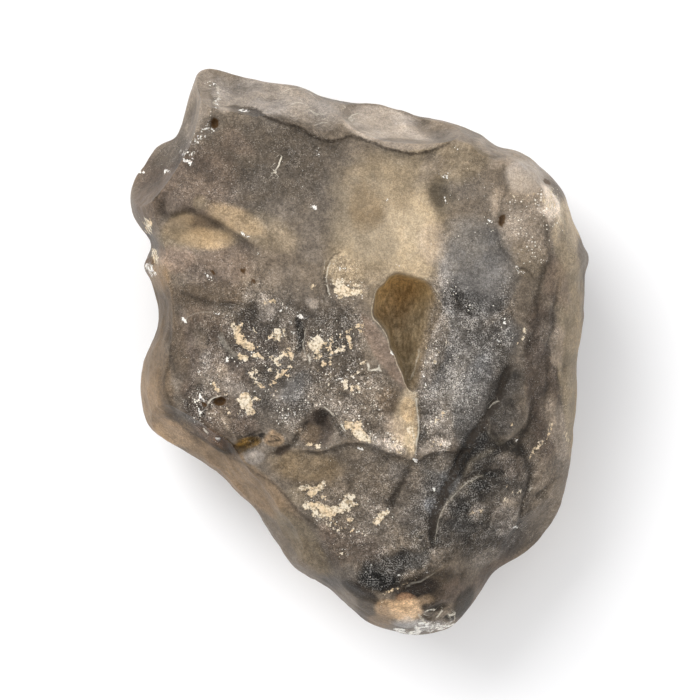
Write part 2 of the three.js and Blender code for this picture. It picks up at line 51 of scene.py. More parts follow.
# The widest line, seen from the front and walked anticlockwise from the right side
outline = [
    [23.5, -1.5], [23.9, 1.4], [24.2, 4.6], [24.25, 8.2], [24.65, 10.2], [24, 11.7], [23.1, 13.6],
    [22.5, 15.4], [22, 17], [21.2, 18.3], [20.1, 19.4], [18.6, 20.8], [17.1, 21.6], [15.3, 21.95],
    [14.2, 22.5], [13.1, 23.45], [11.7, 24.05], [10, 24.6], [8.2, 25], [6.3, 25.3], [4.8, 25.8],
    [3.2, 26.3], [1.4, 26.7], [-1, 26.85], [-3.2, 27.2], [-5.2, 27.9], [-7.3, 28.7], [-9.6, 28.95],
    [-12, 29.4], [-14.2, 29.95], [-15.2, 30.3], [-16.2, 30.45], [-17.2, 30.1], [-17.8, 29], [-18.4, 27],
    [-18.9, 25], [-19.3, 23.9], [-20, 23], [-21.2, 22.4], [-22.3, 21.5], [-23.3, 20.1], [-24.2, 18.6],
    [-24.65, 16.6], [-24.4, 14.8], [-23.5, 13.3], [-22.6, 12.3], [-22.35, 11.2], [-22.8, 10.1],
    [-23.2, 9], [-22.6, 7.6], [-21.9, 5.8], [-21.7, 3.8], [-22.1, 2], [-22.9, 0.3], [-23.5, -1.8],
    [-23.7, -3.8], [-23.4, -6], [-22.6, -8], [-21.2, -9.2], [-19.2, -10.4], [-16.9, -11.6], [-15, -13],
    [-13, -15], [-10.8, -17.6], [-8.8, -20.6], [-7.2, -22.9], [-5.5, -24.1], [-3.6, -25.3], [-1.6, -27],
    [0.5, -28.6], [3, -29.7], [5.8, -30.4], [8.2, -30.2], [9.9, -29.6], [11.5, -27.9], [13, -25.9],
    [14.3, -23.9], [16.2, -22.5], [18.6, -21], [20.1, -19.2], [21.5, -16.7], [22.3, -14], [22.9, -10.8],
    [23.2, -7],
]
# The line where the front face folds over into the flanks, walked the same way
shoulder = [
    [18.5, 1], [19.2, 4.5], [20, 8.5], [20.3, 12.5], [20, 16], [18.6, 18.6], [16.2, 20.2], [13.6, 21.4],
    [11, 23], [9.2, 22.7], [7.2, 21.6], [5, 21.4], [2.4, 21.9], [-0.4, 22.7], [-3, 22.9], [-5.6, 23.7],
    [-8.4, 24.8], [-11, 25.8], [-13.6, 26.2], [-15.6, 26.2], [-16.4, 25], [-17.8, 23.3], [-19.6, 21.6],
    [-21.6, 19.8], [-22.3, 17.4], [-22, 14.5], [-21, 11.5], [-20.9, 8.5], [-20, 5], [-20.1, 1.5],
    [-20.8, -2], [-20.5, -5], [-19, -7.8], [-16.6, -9.8], [-13.6, -11.2], [-11, -12.4], [-9.2, -13.8],
    [-7.2, -16], [-5.2, -18.2], [-3.6, -20.6], [-1.8, -23.2], [0.6, -25.3], [3.2, -25.7], [6, -24.2],
    [8.8, -22.6], [9.4, -20.4], [9.6, -17.6], [10.6, -14.4], [12.4, -11.2], [14.2, -7.8], [15.8, -4.4],
    [17.4, -1.4],
]
shoulder_limit = 0.93
front_crown, front_shoulder = 12.4, 9.6
dome_bluntness = 2.4
flank_stretch, flank_straightness = 1.15, 0.35
back_crown, back_boxiness = 12.6, 2.5
rest_flat = 0.75
front_share = 0.68
rows = 98


def smooth_line(points, per_point, closed=False):
    """A smooth curve through given points."""
    p = np.array(points, float).reshape(-1, 2)
    if closed:
        p = np.vstack([p[-1:], p, p[:2]])
    else:
        p = np.vstack([2 * p[0] - p[1], p, 2 * p[-1] - p[-2]])
    t = np.linspace(0, 1, per_point, endpoint=False)[:, None]
    runs = []
    for a, b, c, d in zip(p[:-3], p[1:-2], p[2:-1], p[3:]):
        bend = 2 * a - 5 * b + 4 * c - d
        twist = 3 * b - a - 3 * c + d
        runs.append(b + 0.5 * t * ((c - a) + t * (bend + t * twist)))
    if not closed:
        runs.append(p[-2:-1])
    return np.vstack(runs)


def radius_reader(points):
    line = smooth_line(points, 60, closed=True)
    angle = np.arctan2(line[:, 1], line[:, 0])
    order = np.argsort(angle)
    angle, radius = angle[order], np.hypot(line[:, 0], line[:, 1])[order]
    return lambda a: np.interp(a, angle, radius, period=2 * math.pi)


outline_radius = radius_reader(outline)
shoulder_radius = radius_reader(shoulder)


def fold_radius(angle):
    return np.minimum(shoulder_radius(angle), outline_radius(angle) * shoulder_limit)


def smoothstep(x, low, high):
    t = np.clip((x - low) / (high - low), 0, 1)
    return t * t * (3 - 2 * t)


# The widest line rolls up and down the flank: waves around the stone, lift, and start in degrees
girdle_waves = [(1, 1.3, 60), (2, 1.1, 150), (3, 0.7, 20)]


def girdle_lift(angle):
    return sum(lift * np.cos(n * angle - math.radians(start)) for n, lift, start in girdle_waves)


def ball(count):
    """Even directions from a twenty-sided ball, each face split into rows of triangles."""
    g = (1 + 5 ** 0.5) / 2
    corners = np.array(
        [[-1, g, 0], [1, g, 0], [-1, -g, 0], [1, -g, 0], [0, -1, g], [0, 1, g],
         [0, -1, -g], [0, 1, -g], [g, 0, -1], [g, 0, 1], [-g, 0, -1], [-g, 0, 1]], float)
    sides = [
        [0, 11, 5], [0, 5, 1], [0, 1, 7], [0, 7, 10], [0, 10, 11], [1, 5, 9], [5, 11, 4],
        [11, 10, 2], [10, 7, 6], [7, 1, 8], [3, 9, 4], [3, 4, 2], [3, 2, 6], [3, 6, 8],
        [3, 8, 9], [4, 9, 5], [2, 4, 11], [6, 2, 10], [8, 6, 7], [9, 8, 1]]
    i, j = np.meshgrid(np.arange(count + 1), np.arange(count + 1), indexing="ij")
    inside = i + j <= count
    i, j = i[inside], j[inside]
    number = -np.ones((count + 2, count + 2), int)
    number[i, j] = np.arange(len(i))
    up = np.stack([number[i, j], number[i + 1, j], number[i, j + 1]], 1)
    down = np.stack([number[i + 1, j], number[i + 1, j + 1], number[i, j + 1]], 1)
    small = np.vstack([up[(up >= 0).all(1)], down[(down >= 0).all(1)]])
    points, faces = [], []
    for n, (a, b, c) in enumerate(sides):
        k = (count - i - j)[:, None]
        points.append((k * corners[a] + i[:, None] * corners[b] + j[:, None] * corners[c]) / count)
        faces.append(small + n * len(i))
    points = np.vstack(points)
    points /= np.linalg.norm(points, axis=1, keepdims=True)
    key = np.round(points * 1e6).astype(np.int64)
    _, first, same = np.unique(key, axis=0, return_index=True, return_inverse=True)
    return points[first], same.reshape(-1)[np.vstack(faces)]


def even_walk(share):
    """From a share of the half-ball's area to a share of the way from the crown to the widest line."""
    face_reach, flank_reach, flank_radius = 20, 12, 23
    face = math.pi * face_reach ** 2
    flank = 2 * math.pi * flank_radius * flank_reach
    area = share * (face + flank)
    on_flank = face_reach + (area - face) / (2 * math.pi * flank_radius)
    return np.where(area < face, np.sqrt(area / math.pi), on_flank) / (face_reach + flank_reach)


# The mesh is gathered around the hollow, where the shape is finest
hollow_middle = np.array([5, 2.4])
gather_reach, gather_pull = 12.5, 0.42


def on_front(angle, walk):
    outer, edge = outline_radius(angle), fold_radius(angle)
    fold = edge / (edge + flank_stretch * np.hypot(outer - edge, front_shoulder))
    radius = edge * walk / fold
    plan = np.stack([radius * np.cos(angle), radius * np.sin(angle)], 1) - hollow_middle
    near = 1 - smoothstep(np.linalg.norm(plan, axis=1), 0, gather_reach)
    plan = plan * (1 - gather_pull * near)[:, None] + hollow_middle
    share = np.linalg.norm(plan, axis=1) / fold_radius(np.arctan2(plan[:, 1], plan[:, 0]))
    face_z = front_shoulder + (front_crown - front_shoulder) * (1 - share ** dome_bluntness)
    bend = np.clip((walk - fold) / (1 - fold), 0, 1) * math.pi / 2
    side = edge + (outer - edge) * np.sin(bend)
    drop = flank_straightness * (1 - np.sin(bend)) + (1 - flank_straightness) * np.cos(bend)
    on_flank = np.stack([side * np.cos(angle), side * np.sin(angle), front_shoulder * drop], 1)
    return np.where((walk < fold)[:, None], np.column_stack([plan, face_z]), on_flank)


def on_back(angle, walk):
    across, down = np.sin(walk * math.pi / 2), np.cos(walk * math.pi / 2)
    size = (across ** back_boxiness + down ** back_boxiness) ** (1 / back_boxiness)
    radius = outline_radius(angle) * across / size
    return np.stack([radius * np.cos(angle), radius * np.sin(angle), -back_crown * down / size], 1)


directions, triangles = ball(rows)
angle = np.arctan2(directions[:, 1], directions[:, 0])
depth = (1 - directions[:, 2]) / 2
in_front = depth < front_share
walk = even_walk(np.where(in_front, depth / front_share, (1 - depth) / (1 - front_share)))
body = np.where(in_front[:, None], on_front(angle, walk), on_back(angle, np.minimum(walk, 1)))
reach_out = np.hypot(body[:, 0], body[:, 1]) / outline_radius(np.arctan2(body[:, 1], body[:, 0]))
body[:, 2] += girdle_lift(angle) * reach_out ** 3

# Dishes worn into the flanks and the back: the lowest point of each, the way it opens, its radius
dishes = [
    ([-10.5, 27.7, 5], [0, 0.88, 0.475], 30), ([4.6, 24, 4.6], [0.1, 0.86, 0.5], 14),
    ([-18.4, 25.2, 3.4], [-0.9, 0.2, 0.36], 17), ([-21.2, 4.2, -2.6], [-0.95, 0, -0.3], 9),
    ([-12.6, -15.2, 2.4], [-0.68, -0.6, 0.42], 46), ([17.4, -19.6, 0.6], [0.7, -0.6, 0.38], 30),
    ([22.6, 3, -3.4], [0.93, 0, -0.36], 22), ([2, 24.4, -4.6], [0, 0.9, -0.44], 16),
    ([4, -27, -5], [-0.1, -0.86, -0.5], 12), ([-11.5, 12, -10.2], [-0.34, 0.3, -0.89], 19),
    ([11.4, 12.6, -10.3], [0.36, 0.3, -0.88], 16), ([-12.4, -4.4, -10.2], [-0.5, -0.12, -0.86], 14),
    ([12.4, -11, -9.9], [0.44, -0.24, -0.87], 17), ([1, -18.6, -10], [0, -0.42, -0.91], 13),
]
for lowest, opens, radius in dishes:
    opens = np.array(opens) / np.linalg.norm(opens)
    centre = np.array(lowest) + radius * opens
    offset = body - centre
    far = np.linalg.norm(offset, axis=1)
    hit = far < radius
    body[hit] = centre + offset[hit] * (radius / far[hit])[:, None]


def noise(points, size, seed):
    """Smooth seeded noise from -1 to 1, in lumps about size across."""
    cells = 32
    table = np.random.default_rng(seed).uniform(-1, 1, (cells, cells, cells))
    tilt = np.array([[0.36, 0.48, -0.8], [-0.8, 0.6, 0], [0.48, 0.64, 0.6]])
    apart = 7.3
    q = points @ tilt / size + apart * seed
    cell = np.floor(q).astype(int)
    t = smoothstep(q - cell, 0, 1)
    total = np.zeros(len(points))
    for corner in itertools.product((0, 1), repeat=3):
        c = np.array(corner)
        weight = np.prod(np.where(c, t, 1 - t), axis=1)
        total += weight * table[tuple(((cell + c) % cells).T)]
    return total


def rough_noise(points, size, seed, layers=3):
    return sum(noise(points, size / 2 ** k, seed + k) / 2 ** k for k in range(layers))


def drift_of(points, size, seed, layers=3):
    """How far each point wanders sideways and up, to roughen what is drawn with a smooth line."""
    return np.stack([rough_noise(points, size, seed + k, layers) for k in (0, 10)], 1)


def normals_of(points):
    a, b, c = (points[triangles[:, k]] for k in range(3))
    face = np.cross(b - a, c - a)
    total = np.zeros_like(points)
    for k in range(3):
        for axis in range(3):
            total[:, axis] += np.bincount(triangles[:, k], face[:, axis], len(points))
    return total / np.linalg.norm(total, axis=1, keepdims=True)


# A line is given by the x and y of its points in turn. Ledges of the front: the left-hand side of
# each line, walked in order, is the high side. After the line come how far the two sides stand off,
# how far each reaches, and the dark line in it, partly dirt and partly painted shade: half width,
# how dark the line is, how dark the painted shade around it is and how far that spreads
ledges = [
    # lip under the top bevel
    ([-15.6, 25.9, -14.1, 26.1, -12.5, 25.9, -10.7, 25.6, -9.2, 24.9, -7.1, 24.2, -5.5, 23.4, -4.2, 22.7,
     -2.6, 22.5, -0.7, 22.8, 1.3, 22.3, 3.5, 21.7, 5.5, 21.3, 6.9, 21.4, 8.5, 22, 10.2, 22.9, 11.2, 23.3],
     0.08, 0.26, 2.2, 1.8, (0.13, 0.75, 0.4, 0.5)),
    # brow over the left glow
    ([-21.3, 17.4, -20.9, 16, -20.4, 14.6, -19.4, 15, -17.8, 15.1, -16.2, 14.5, -14.6, 13.7, -13.1, 12.6,
     -11.9, 11.5, -10.7, 10.4], 0.3, 0.42, 2, 1.8, (0.12, 0.2, 0.4, 0.9)),
    # left shelf
    ([-20, 6.4, -18, 6.2, -16.9, 5.9, -14.9, 5.4, -12.3, 5, -10.2, 5.3], 0.12, 0.22, 1.6, 1.5, (0.12, 0.2,
     0.45, 0.7)),
    # lower edge of the middle face
    ([-8, -11, -6, -10.6, -4, -10.6, -2, -10, 0, -9.8, 1.8, -10.2, 3.2, -10.9, 5, -11.4, 5.9, -11.6,
     6.6, -11.5, 7.5, -11, 8.7, -10.7, 10.6, -10.8, 11.8, -9.9, 13, -8.8], 0.15, 0.36, 2, 2.2, (0.15, 0.5,
     0.5, 0.4)),
    # facet edge below the hollow
    ([6.1, -11.2, 6.1, -9, 6.05, -6.6, 5.95, -4.6], 0.22, 0.35, 1.3, 1.2, (0.12, 0.4, 0.4, 0.4)),
    # edge of the triangular dent
    ([-4.3, -5.9, -3.2, -6.7, -2.2, -7.9, -1.1, -9.4], 0.2, 0.38, 1.2, 1.2, (0.1, 0.2, 0.4, 0.5)),
    # crescent lip
    ([-15.2, 3.2, -14.9, 2.4, -14.1, 0.6, -13.2, -0.4, -12.1, -1], 0.22, 0.25, 0.9, 1, (0.1, 0.1,
     0.35, 0.6)),
    # left edge of the flaked oval
    ([-4.6, 3.9, -5.8, 3.5, -6.1, 2.2, -5.9, 1.1, -5.5, -0.2], 0.2, 0.28, 1.1, 1.1, (0.14, 0.6, 0.6, 0.7)),
    # big valley beside the lobes
    ([17.3, -1, 16.2, -1.7, 15.5, -2.8, 15.1, -4, 14.7, -5.1, 13.9, -6.5, 13.1, -8, 12, -9.4, 11.1, -11,
     10.5, -12.5, 9.9, -13.8, 9.1, -15.3, 8.4, -16.7, 7.9, -18.2, 7.8, -19.6, 8.1, -21.1], 0.24, 0.42,
     1.8, 2.2, (0.32, 0.95, 0.95, 0.5)),
    # left and right edges of the round scar
    ([12.5, 3.4, 11.6, 4.2, 10.7, 5.1, 9.8, 6.5, 8.8, 7.8], 0.18, 0.2, 1.4, 1.4, (0.2, 0.15, 0.6, 0.9)),
    ([17.8, 8.2, 16.6, 6.7, 15.4, 4.9, 14, 3.9, 12.7, 3.3], 0.18, 0.2, 1.4, 1.4, (0.2, 0.1, 0.5, 0.9)),
    # ridge over the worn tip
    ([10.8, -22.2, 9.6, -22.7, 8.1, -23.2, 6.7, -24, 4.8, -24.8, 3.1, -25.3, 2.2, -25.9], 0.22, 0.45, 1, 2,
     (0.1, 0.2, 0.3, 0.5)),
]

# Grooves: the line, its depth, how wide each side of the V is, and the dirt and painted shade in it
grooves = [
    ([20.2, 15, 20.1, 11.8, 20.3, 10.8, 20.1, 9.3, 19.3, 7, 19, 5.4, 18.9, 4, 18.5, 2.3, 18.1, 0.8,
     17.8, -0.3, 17, -1.2], 0.25, 0.8, (0.26, 0.4, 0.6, 0.9)),
    ([15.3, 21.2, 15.3, 19.4, 15.7, 17.5, 15.3, 15.8, 14.7, 13.5, 14.8, 11.9, 15.3, 10.7, 16.4, 9.6,
     16.9, 8.6], 0.22, 0.6, (0.1, 0.2, 0.35, 0.5)),
    ([5.9, -11.9, 5, -13.4, 4.2, -14.8, 3.6, -15.9, 3.2, -17.4], 0.22, 0.6, (0.3, 0.75, 1, 0.6)),
    ([-15.6, -9.2, -14.6, -9.9, -13.2, -10.3, -11.8, -9.9, -10.4, -9.3], 0.7, 0.7, (0.16, 0.3, 0.5, 0.7)),
    ([-8.8, -11.2, -7.9, -10.3, -7.1, -9.5, -6.1, -8.1, -5.4, -6.9], 0.24, 0.5, (0.2, 0.3, 0.5, 0.6)),
    ([21.7, 9, 21.1, 5.4, 20.6, 1.8, 20.1, 0, 20.1, -2, 20.1, -4, 19.8, -7], 0.18, 0.6, (0.16, 0.3,
     0.4, 0.6)),
    ([22.6, 5.4, 22.4, 2.5, 22.2, -1.4, 21.6, -6, 21.3, -10.5, 20.7, -13.6], 0.12, 0.5, (0.14, 0.1,
     0.3, 0.5)),
    ([18.9, -4.4, 18.5, -5.9, 18.1, -7.6, 17.4, -9.2, 17.4, -10.6, 18.3, -12, 18.1, -13.6, 17.8, -15.2,
     17.3, -17, 17.1, -18.8, 16.3, -19.7, 15.2, -20.7, 13.9, -21.8], 0.26, 0.6, (0.24, 0.55, 0.8, 0.6)),
    ([22.1, -13, 19.9, -14.8, 17.8, -16.9], 0.16, 0.5, (0.13, 0.3, 0.4, 0.4)),
    # foot of the upper lobe and of the small lobe under it
    ([14.2, -7.6, 14.2, -8.8, 14.8, -9.8, 15.8, -9.9, 16.8, -9.2, 17.6, -7.8], 0.16, 0.4, (0.2, 0.4,
     0.5, 0.4)),
    ([10.6, -14, 11.6, -13.4, 13, -12.8, 14.4, -12.6, 15.6, -13], 0.16, 0.35, (0.22, 0.6, 0.6, 0.4)),
]

# An oval is given by its middle, its half sizes and its turn in degrees. Dabs are ovals that rise,
# or are bowls where the rise is below zero. Last comes how soft the rim is: 1 is crisp, 2 is faded
dabs = [
    (-8.4, 20.2, 8.6, 4.4, -14, -0.7, 1.4), (3.6, 13.5, 5.8, 6, 0, 0.4, 2),
    (8.4, 16.4, 1.8, 3.4, 0, -0.25, 1.6), (12.8, 8.8, 4.1, 5.5, 6, -0.65, 1),
    (17.6, 18.6, 3, 3.4, 0, 0.6, 2), (17.4, 12.6, 2.8, 3.8, 0, 0.4, 2),
    (-0.6, -17, 8.4, 7.4, 24, -1.1, 1.3), (7, -15.4, 2.6, 4.6, -28, -0.45, 1.5),
    (-16.9, 1.2, 2, 3.4, 8, -0.4, 1), (-11.4, 1.2, 3.6, 3.2, -30, -0.3, 1),
    (-8.4, -4, 3.2, 3.4, 20, -0.3, 1.2), (-13.4, -6.4, 3.4, 3, 20, 0.4, 2),
    (-1.1, 8.2, 2.7, 2.8, 0, -0.35, 1), (-2.8, 1.4, 3.3, 2.9, 20, -0.28, 1),
    (-17, 12.2, 4, 1.8, -4, -0.7, 1.5), (-15, 16.6, 4.6, 1.8, -18, 0.35, 2),
    (-4.5, -8.5, 1.9, 2.7, 0, -0.6, 1.2), (8.2, 1, 2.4, 6.2, 6, -1.1, 1.6),
    (16.2, -6.2, 1.8, 3.8, -20, 0.5, 1), (13.3, -17.4, 5.2, 4.4, 24, 0.55, 1.1),
    (14.4, -11.6, 2.6, 1.7, -12, 0.3, 1.2), (19, -17.4, 1.8, 2.2, -20, 0.35, 1.4),
    (16.4, 1.8, 1.5, 2.2, -10, 0.3, 1.2), (21.2, 0.5, 1.1, 2.1, 0, -0.25, 1),
    (8.7, -28, 2.1, 1.2, 10, -0.6, 1), (5.1, -27.3, 1.4, 1.3, 0, 0.3, 1.2),
    (2.7, -27.3, 1.4, 1.2, 0, 0.25, 1.2), (-11.1, -11.3, 1.1, 0.7, 0, 0.2, 1.2),
    (6.5, -20, 0.6, 0.9, -14, 0.2, 1.2),
]

# Pits too small for the solid: the oval and its depth
pits = [
    (-15.4, 24.6, 0.62, 0.55, 0, 0.8), (15.25, 14.05, 0.32, 0.85, -6, 0.7),
    (20.2, 18.4, 0.6, 0.4, -20, 0.4), (-15.1, -5.3, 0.62, 0.52, 10, 0.8), (-16.6, -5.6, 0.25, 0.35, 0, 0.3),
    (-15.6, 8.3, 0.35, 0.3, 0, 0.22), (-12.5, 8.6, 0.3, 0.25, 0, 0.22), (-11.5, 7.4, 0.3, 0.25, 0, 0.15),
    (-22.5, 9.8, 0.5, 0.5, 0, 0.3),
]
pit_wall = 0.8

# The teardrop hollow: steep walls on the left and at the top, and on the right a slope that starts
# shallow at a foot line and has no rim of its own
hollow_rim = [
    [4.5, 8.45], [3.6, 8.3], [3.1, 8], [2.6, 7.4], [2, 6.9], [1.65, 6.1], [1.45, 5], [1.4, 4.2],
    [1.6, 3.5], [2, 3.1], [2.55, 2.5], [2.95, 1.9], [3.15, 1.1], [3.35, 0.3], [3.85, -0.4], [4.2, -1.4],
    [4.65, -2.4], [4.95, -3.3], [5.3, -3.95], [5.85, -4.25], [6.4, -3.95], [6.75, -3.1], [7.05, -1.8],
    [7.5, 0], [8.1, 1.8], [8.75, 3.4], [9.1, 4.6], [8.85, 5.4], [8.4, 6.2], [7.9, 6.95], [7.2, 7.5],
    [6.2, 7.95],
]
hollow_depth, wall_slope = 6.6, 5
foot_slope, foot_bend = 0.45, 0.55
least_wall, least_ramp = 0.001, 0.03
ramp_foot = np.array([[6.6, -4.4], [9, 5.6]])
hollow_lean = np.array([-0.12, 0.06, -1])
hollow_sight = 9

# How sharply the walls, the slope and the floor of the hollow meet
meeting = 3.0

# The share of a line's length over which each end fades out
end_fade = 0.16


def beside(plan, line, reach, closed=False):
    """Signed distance from each point to a line, above zero on its left, and the line's strength,
    which fades near the ends and is 0 beyond reach. Points well clear of the line come out at reach."""
    signed, strength = np.full(len(plan), float(reach)), np.zeros(len(plan))
    near = np.flatnonzero(((plan > line.min(0) - reach) & (plan < line.max(0) + reach)).all(1))
    p = plan[near]
    ends = np.vstack([line, line[:1]]) if closed else line
    start, step = ends[:-1], np.diff(ends, axis=0)
    long = np.linalg.norm(step, axis=1)
    walked = np.concatenate([[0], np.cumsum(long)])
    best = np.full(len(p), np.inf)
    side, along = np.ones(len(p)), np.zeros(len(p))
    for k in range(len(step)):
        off = p - start[k]
        share = np.clip(off @ step[k] / max(long[k] ** 2, 1e-12), 0, 1)
        away = off - share[:, None] * step[k]
        far = np.hypot(away[:, 0], away[:, 1])
        closer = far < best
        best[closer] = far[closer]
        cross = step[k, 0] * away[:, 1] - step[k, 1] * away[:, 0]
        side[closer] = np.where(cross[closer] < 0, -1.0, 1.0)
        along[closer] = walked[k] + share[closer] * long[k]
    signed[near] = best * side
    fade = end_fade * walked[-1]
    strength[near] = smoothstep(along, 0, fade) * smoothstep(walked[-1] - along, 0, fade)
    strength[near] *= best < reach
    return signed, strength


def inside_oval(plan, x, y, half_x, half_y, turn):
    """1 at the middle of an oval, 0 on its rim, below zero outside."""
    c, s = math.cos(math.radians(turn)), math.sin(math.radians(turn))
    d = plan - np.array([x, y])
    u, v = (d[:, 0] * c + d[:, 1] * s) / half_x, (d[:, 1] * c - d[:, 0] * s) / half_y
    return 1 - u * u - v * v


# Worn edges wander, so the lines are read from a plan that is shifted a little by noise. The relief
# fades out near the widest line
line_wander, rim_wander = 0.28, 0.1
fade_from, fade_to = 0.01, 0.1
angle = np.arctan2(body[:, 1], body[:, 0])
reach_out = np.hypot(body[:, 0], body[:, 1]) / outline_radius(angle)
faces_front = body[:, 2] - girdle_lift(angle) * reach_out ** 3 > 0
keep_rim = smoothstep(1 - reach_out, fade_from, fade_to) * faces_front
plan = body[:, :2].copy()
wander = drift_of(body, 2.6, 11)
loose = plan + line_wander * wander


def beside_loose(line, reach):
    return beside(loose, smooth_line(line, 6), reach)


# Slopes and shades beside a line are followed out to so many times their own reach
ledge_span, groove_span, shade_span = 5, 6, 5
step_width = 0.5
relief = np.zeros(len(body))
for line, rise, fall, over, under, _ in ledges:
    signed, strength = beside_loose(line, ledge_span * max(over, under))
    above = smoothstep(signed, -step_width / 2, step_width / 2)
    far = np.abs(signed)
    relief += strength * (above * rise * np.exp(-far / over) - (1 - above) * fall * np.exp(-far / under))
for line, deep, wide, _ in grooves:
    signed, strength = beside_loose(line, groove_span * wide)
    relief -= strength * deep * np.exp(-np.abs(signed) / wide)
for *oval, rise, soft in dabs:
    relief += rise * np.maximum(inside_oval(loose, *oval), 0) ** soft
pitted = np.zeros(len(body))
for *oval, deep in pits:
    bowl = np.maximum(inside_oval(loose, *oval), 0)
    relief -= deep * bowl ** pit_wall
    pitted = np.maximum(pitted, bowl)

stone = body + normals_of(body) * (relief * keep_rim)[:, None]
rim_line = smooth_line(hollow_rim, 8, closed=True)
inside, _ = beside(plan + rim_wander * wander, rim_line, hollow_sight, closed=True)
inside = np.where((inside < hollow_sight) & faces_front, inside, -hollow_sight)
(ax, ay), (bx, by) = ramp_foot
up_ramp = ((by - ay) * (ax - plan[:, 0]) - (bx - ax) * (ay - plan[:, 1])) / math.hypot(bx - ax, by - ay)
up_ramp = np.maximum(up_ramp, least_ramp)
walls = np.maximum(wall_slope * inside, least_wall)
ramp = foot_slope * up_ramp + foot_bend * up_ramp ** 2
shallowest = walls ** -meeting + ramp ** -meeting + hollow_depth ** -meeting
sunk = np.where(inside > 0, shallowest ** (-1 / meeting), 0)
stone += hollow_lean * sunk[:, None]

# Sand wear all over: soft swells, then small dimples with crisp rims
swell_height, swell_size, grit_height, grit_size = 0.16, 4.2, 0.035, 0.9
swells = swell_height * rough_noise(stone, swell_size, 31) + grit_height * noise(stone, grit_size, 41)
stone += normals_of(stone) * swells[:, None]
dimple_count, dimple_radius, dimple_depth = 620, (0.5, 2.1), (0.03, 0.075)
rng = np.random.default_rng(5)
tree = kdtree.KDTree(len(stone))
for n, p in enumerate(stone):
    tree.insert(p, n)
tree.balance()
dimples = np.zeros(len(stone))
for centre in stone[rng.integers(0, len(stone), dimple_count)]:
    radius = rng.uniform(*dimple_radius)
    deep = rng.uniform(*dimple_depth) * radius
    for _, n, far in tree.find_range(Vector(centre), radius):
        dimples[n] = max(dimples[n], deep * (1 - (far / radius) ** 2))
stone -= normals_of(stone) * dimples[:, None]
stone[:, 2] = np.maximum(stone[:, 2], rest_flat - back_crown)

# Fitted to the solid's own box
low, high = (np.array(c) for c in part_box("desert_glass"))
placed = low + (stone - stone.min(0)) / (stone.max(0) - stone.min(0)) * (high - low)
spread = placed * 1000
photo_plan = spread[:, :2]

stone_mesh = bpy.data.meshes.new("desert_glass_stone")
stone_mesh.from_pydata(placed.tolist(), [], triangles.tolist())
stone_mesh.shade_smooth()
stone_piece = bpy.data.objects.new("desert_glass_stone", stone_mesh)
bpy.context.scene.collection.objects.link(stone_piece)


def srgb(r, g, b):
    """A colour as the eye names it, 0 to 255, as the amount of light the renderer wants."""
    c = np.array([r, g, b]) / 255
    return np.where(c < 0.04045, c / 12.92, ((c + 0.055) / 1.055) ** 2.4)


# The tints of the glass, from cool to warm: red, green and blue beside a green of 1
ash, grey, pearl = np.array([[1, 1, 1], [1.03, 1, 0.96], [1.07, 1, 0.92]])
smoke, sand, brown = np.array([[1.1, 1, 0.88], [1.11, 1, 0.83], [1.15, 1, 0.87]])
straw, tan = np.array([[1.155, 1, 0.78], [1.18, 1, 0.79]])
rust, amber = np.array([[1.3, 1, 0.75], [1.3, 1, 0.48]])
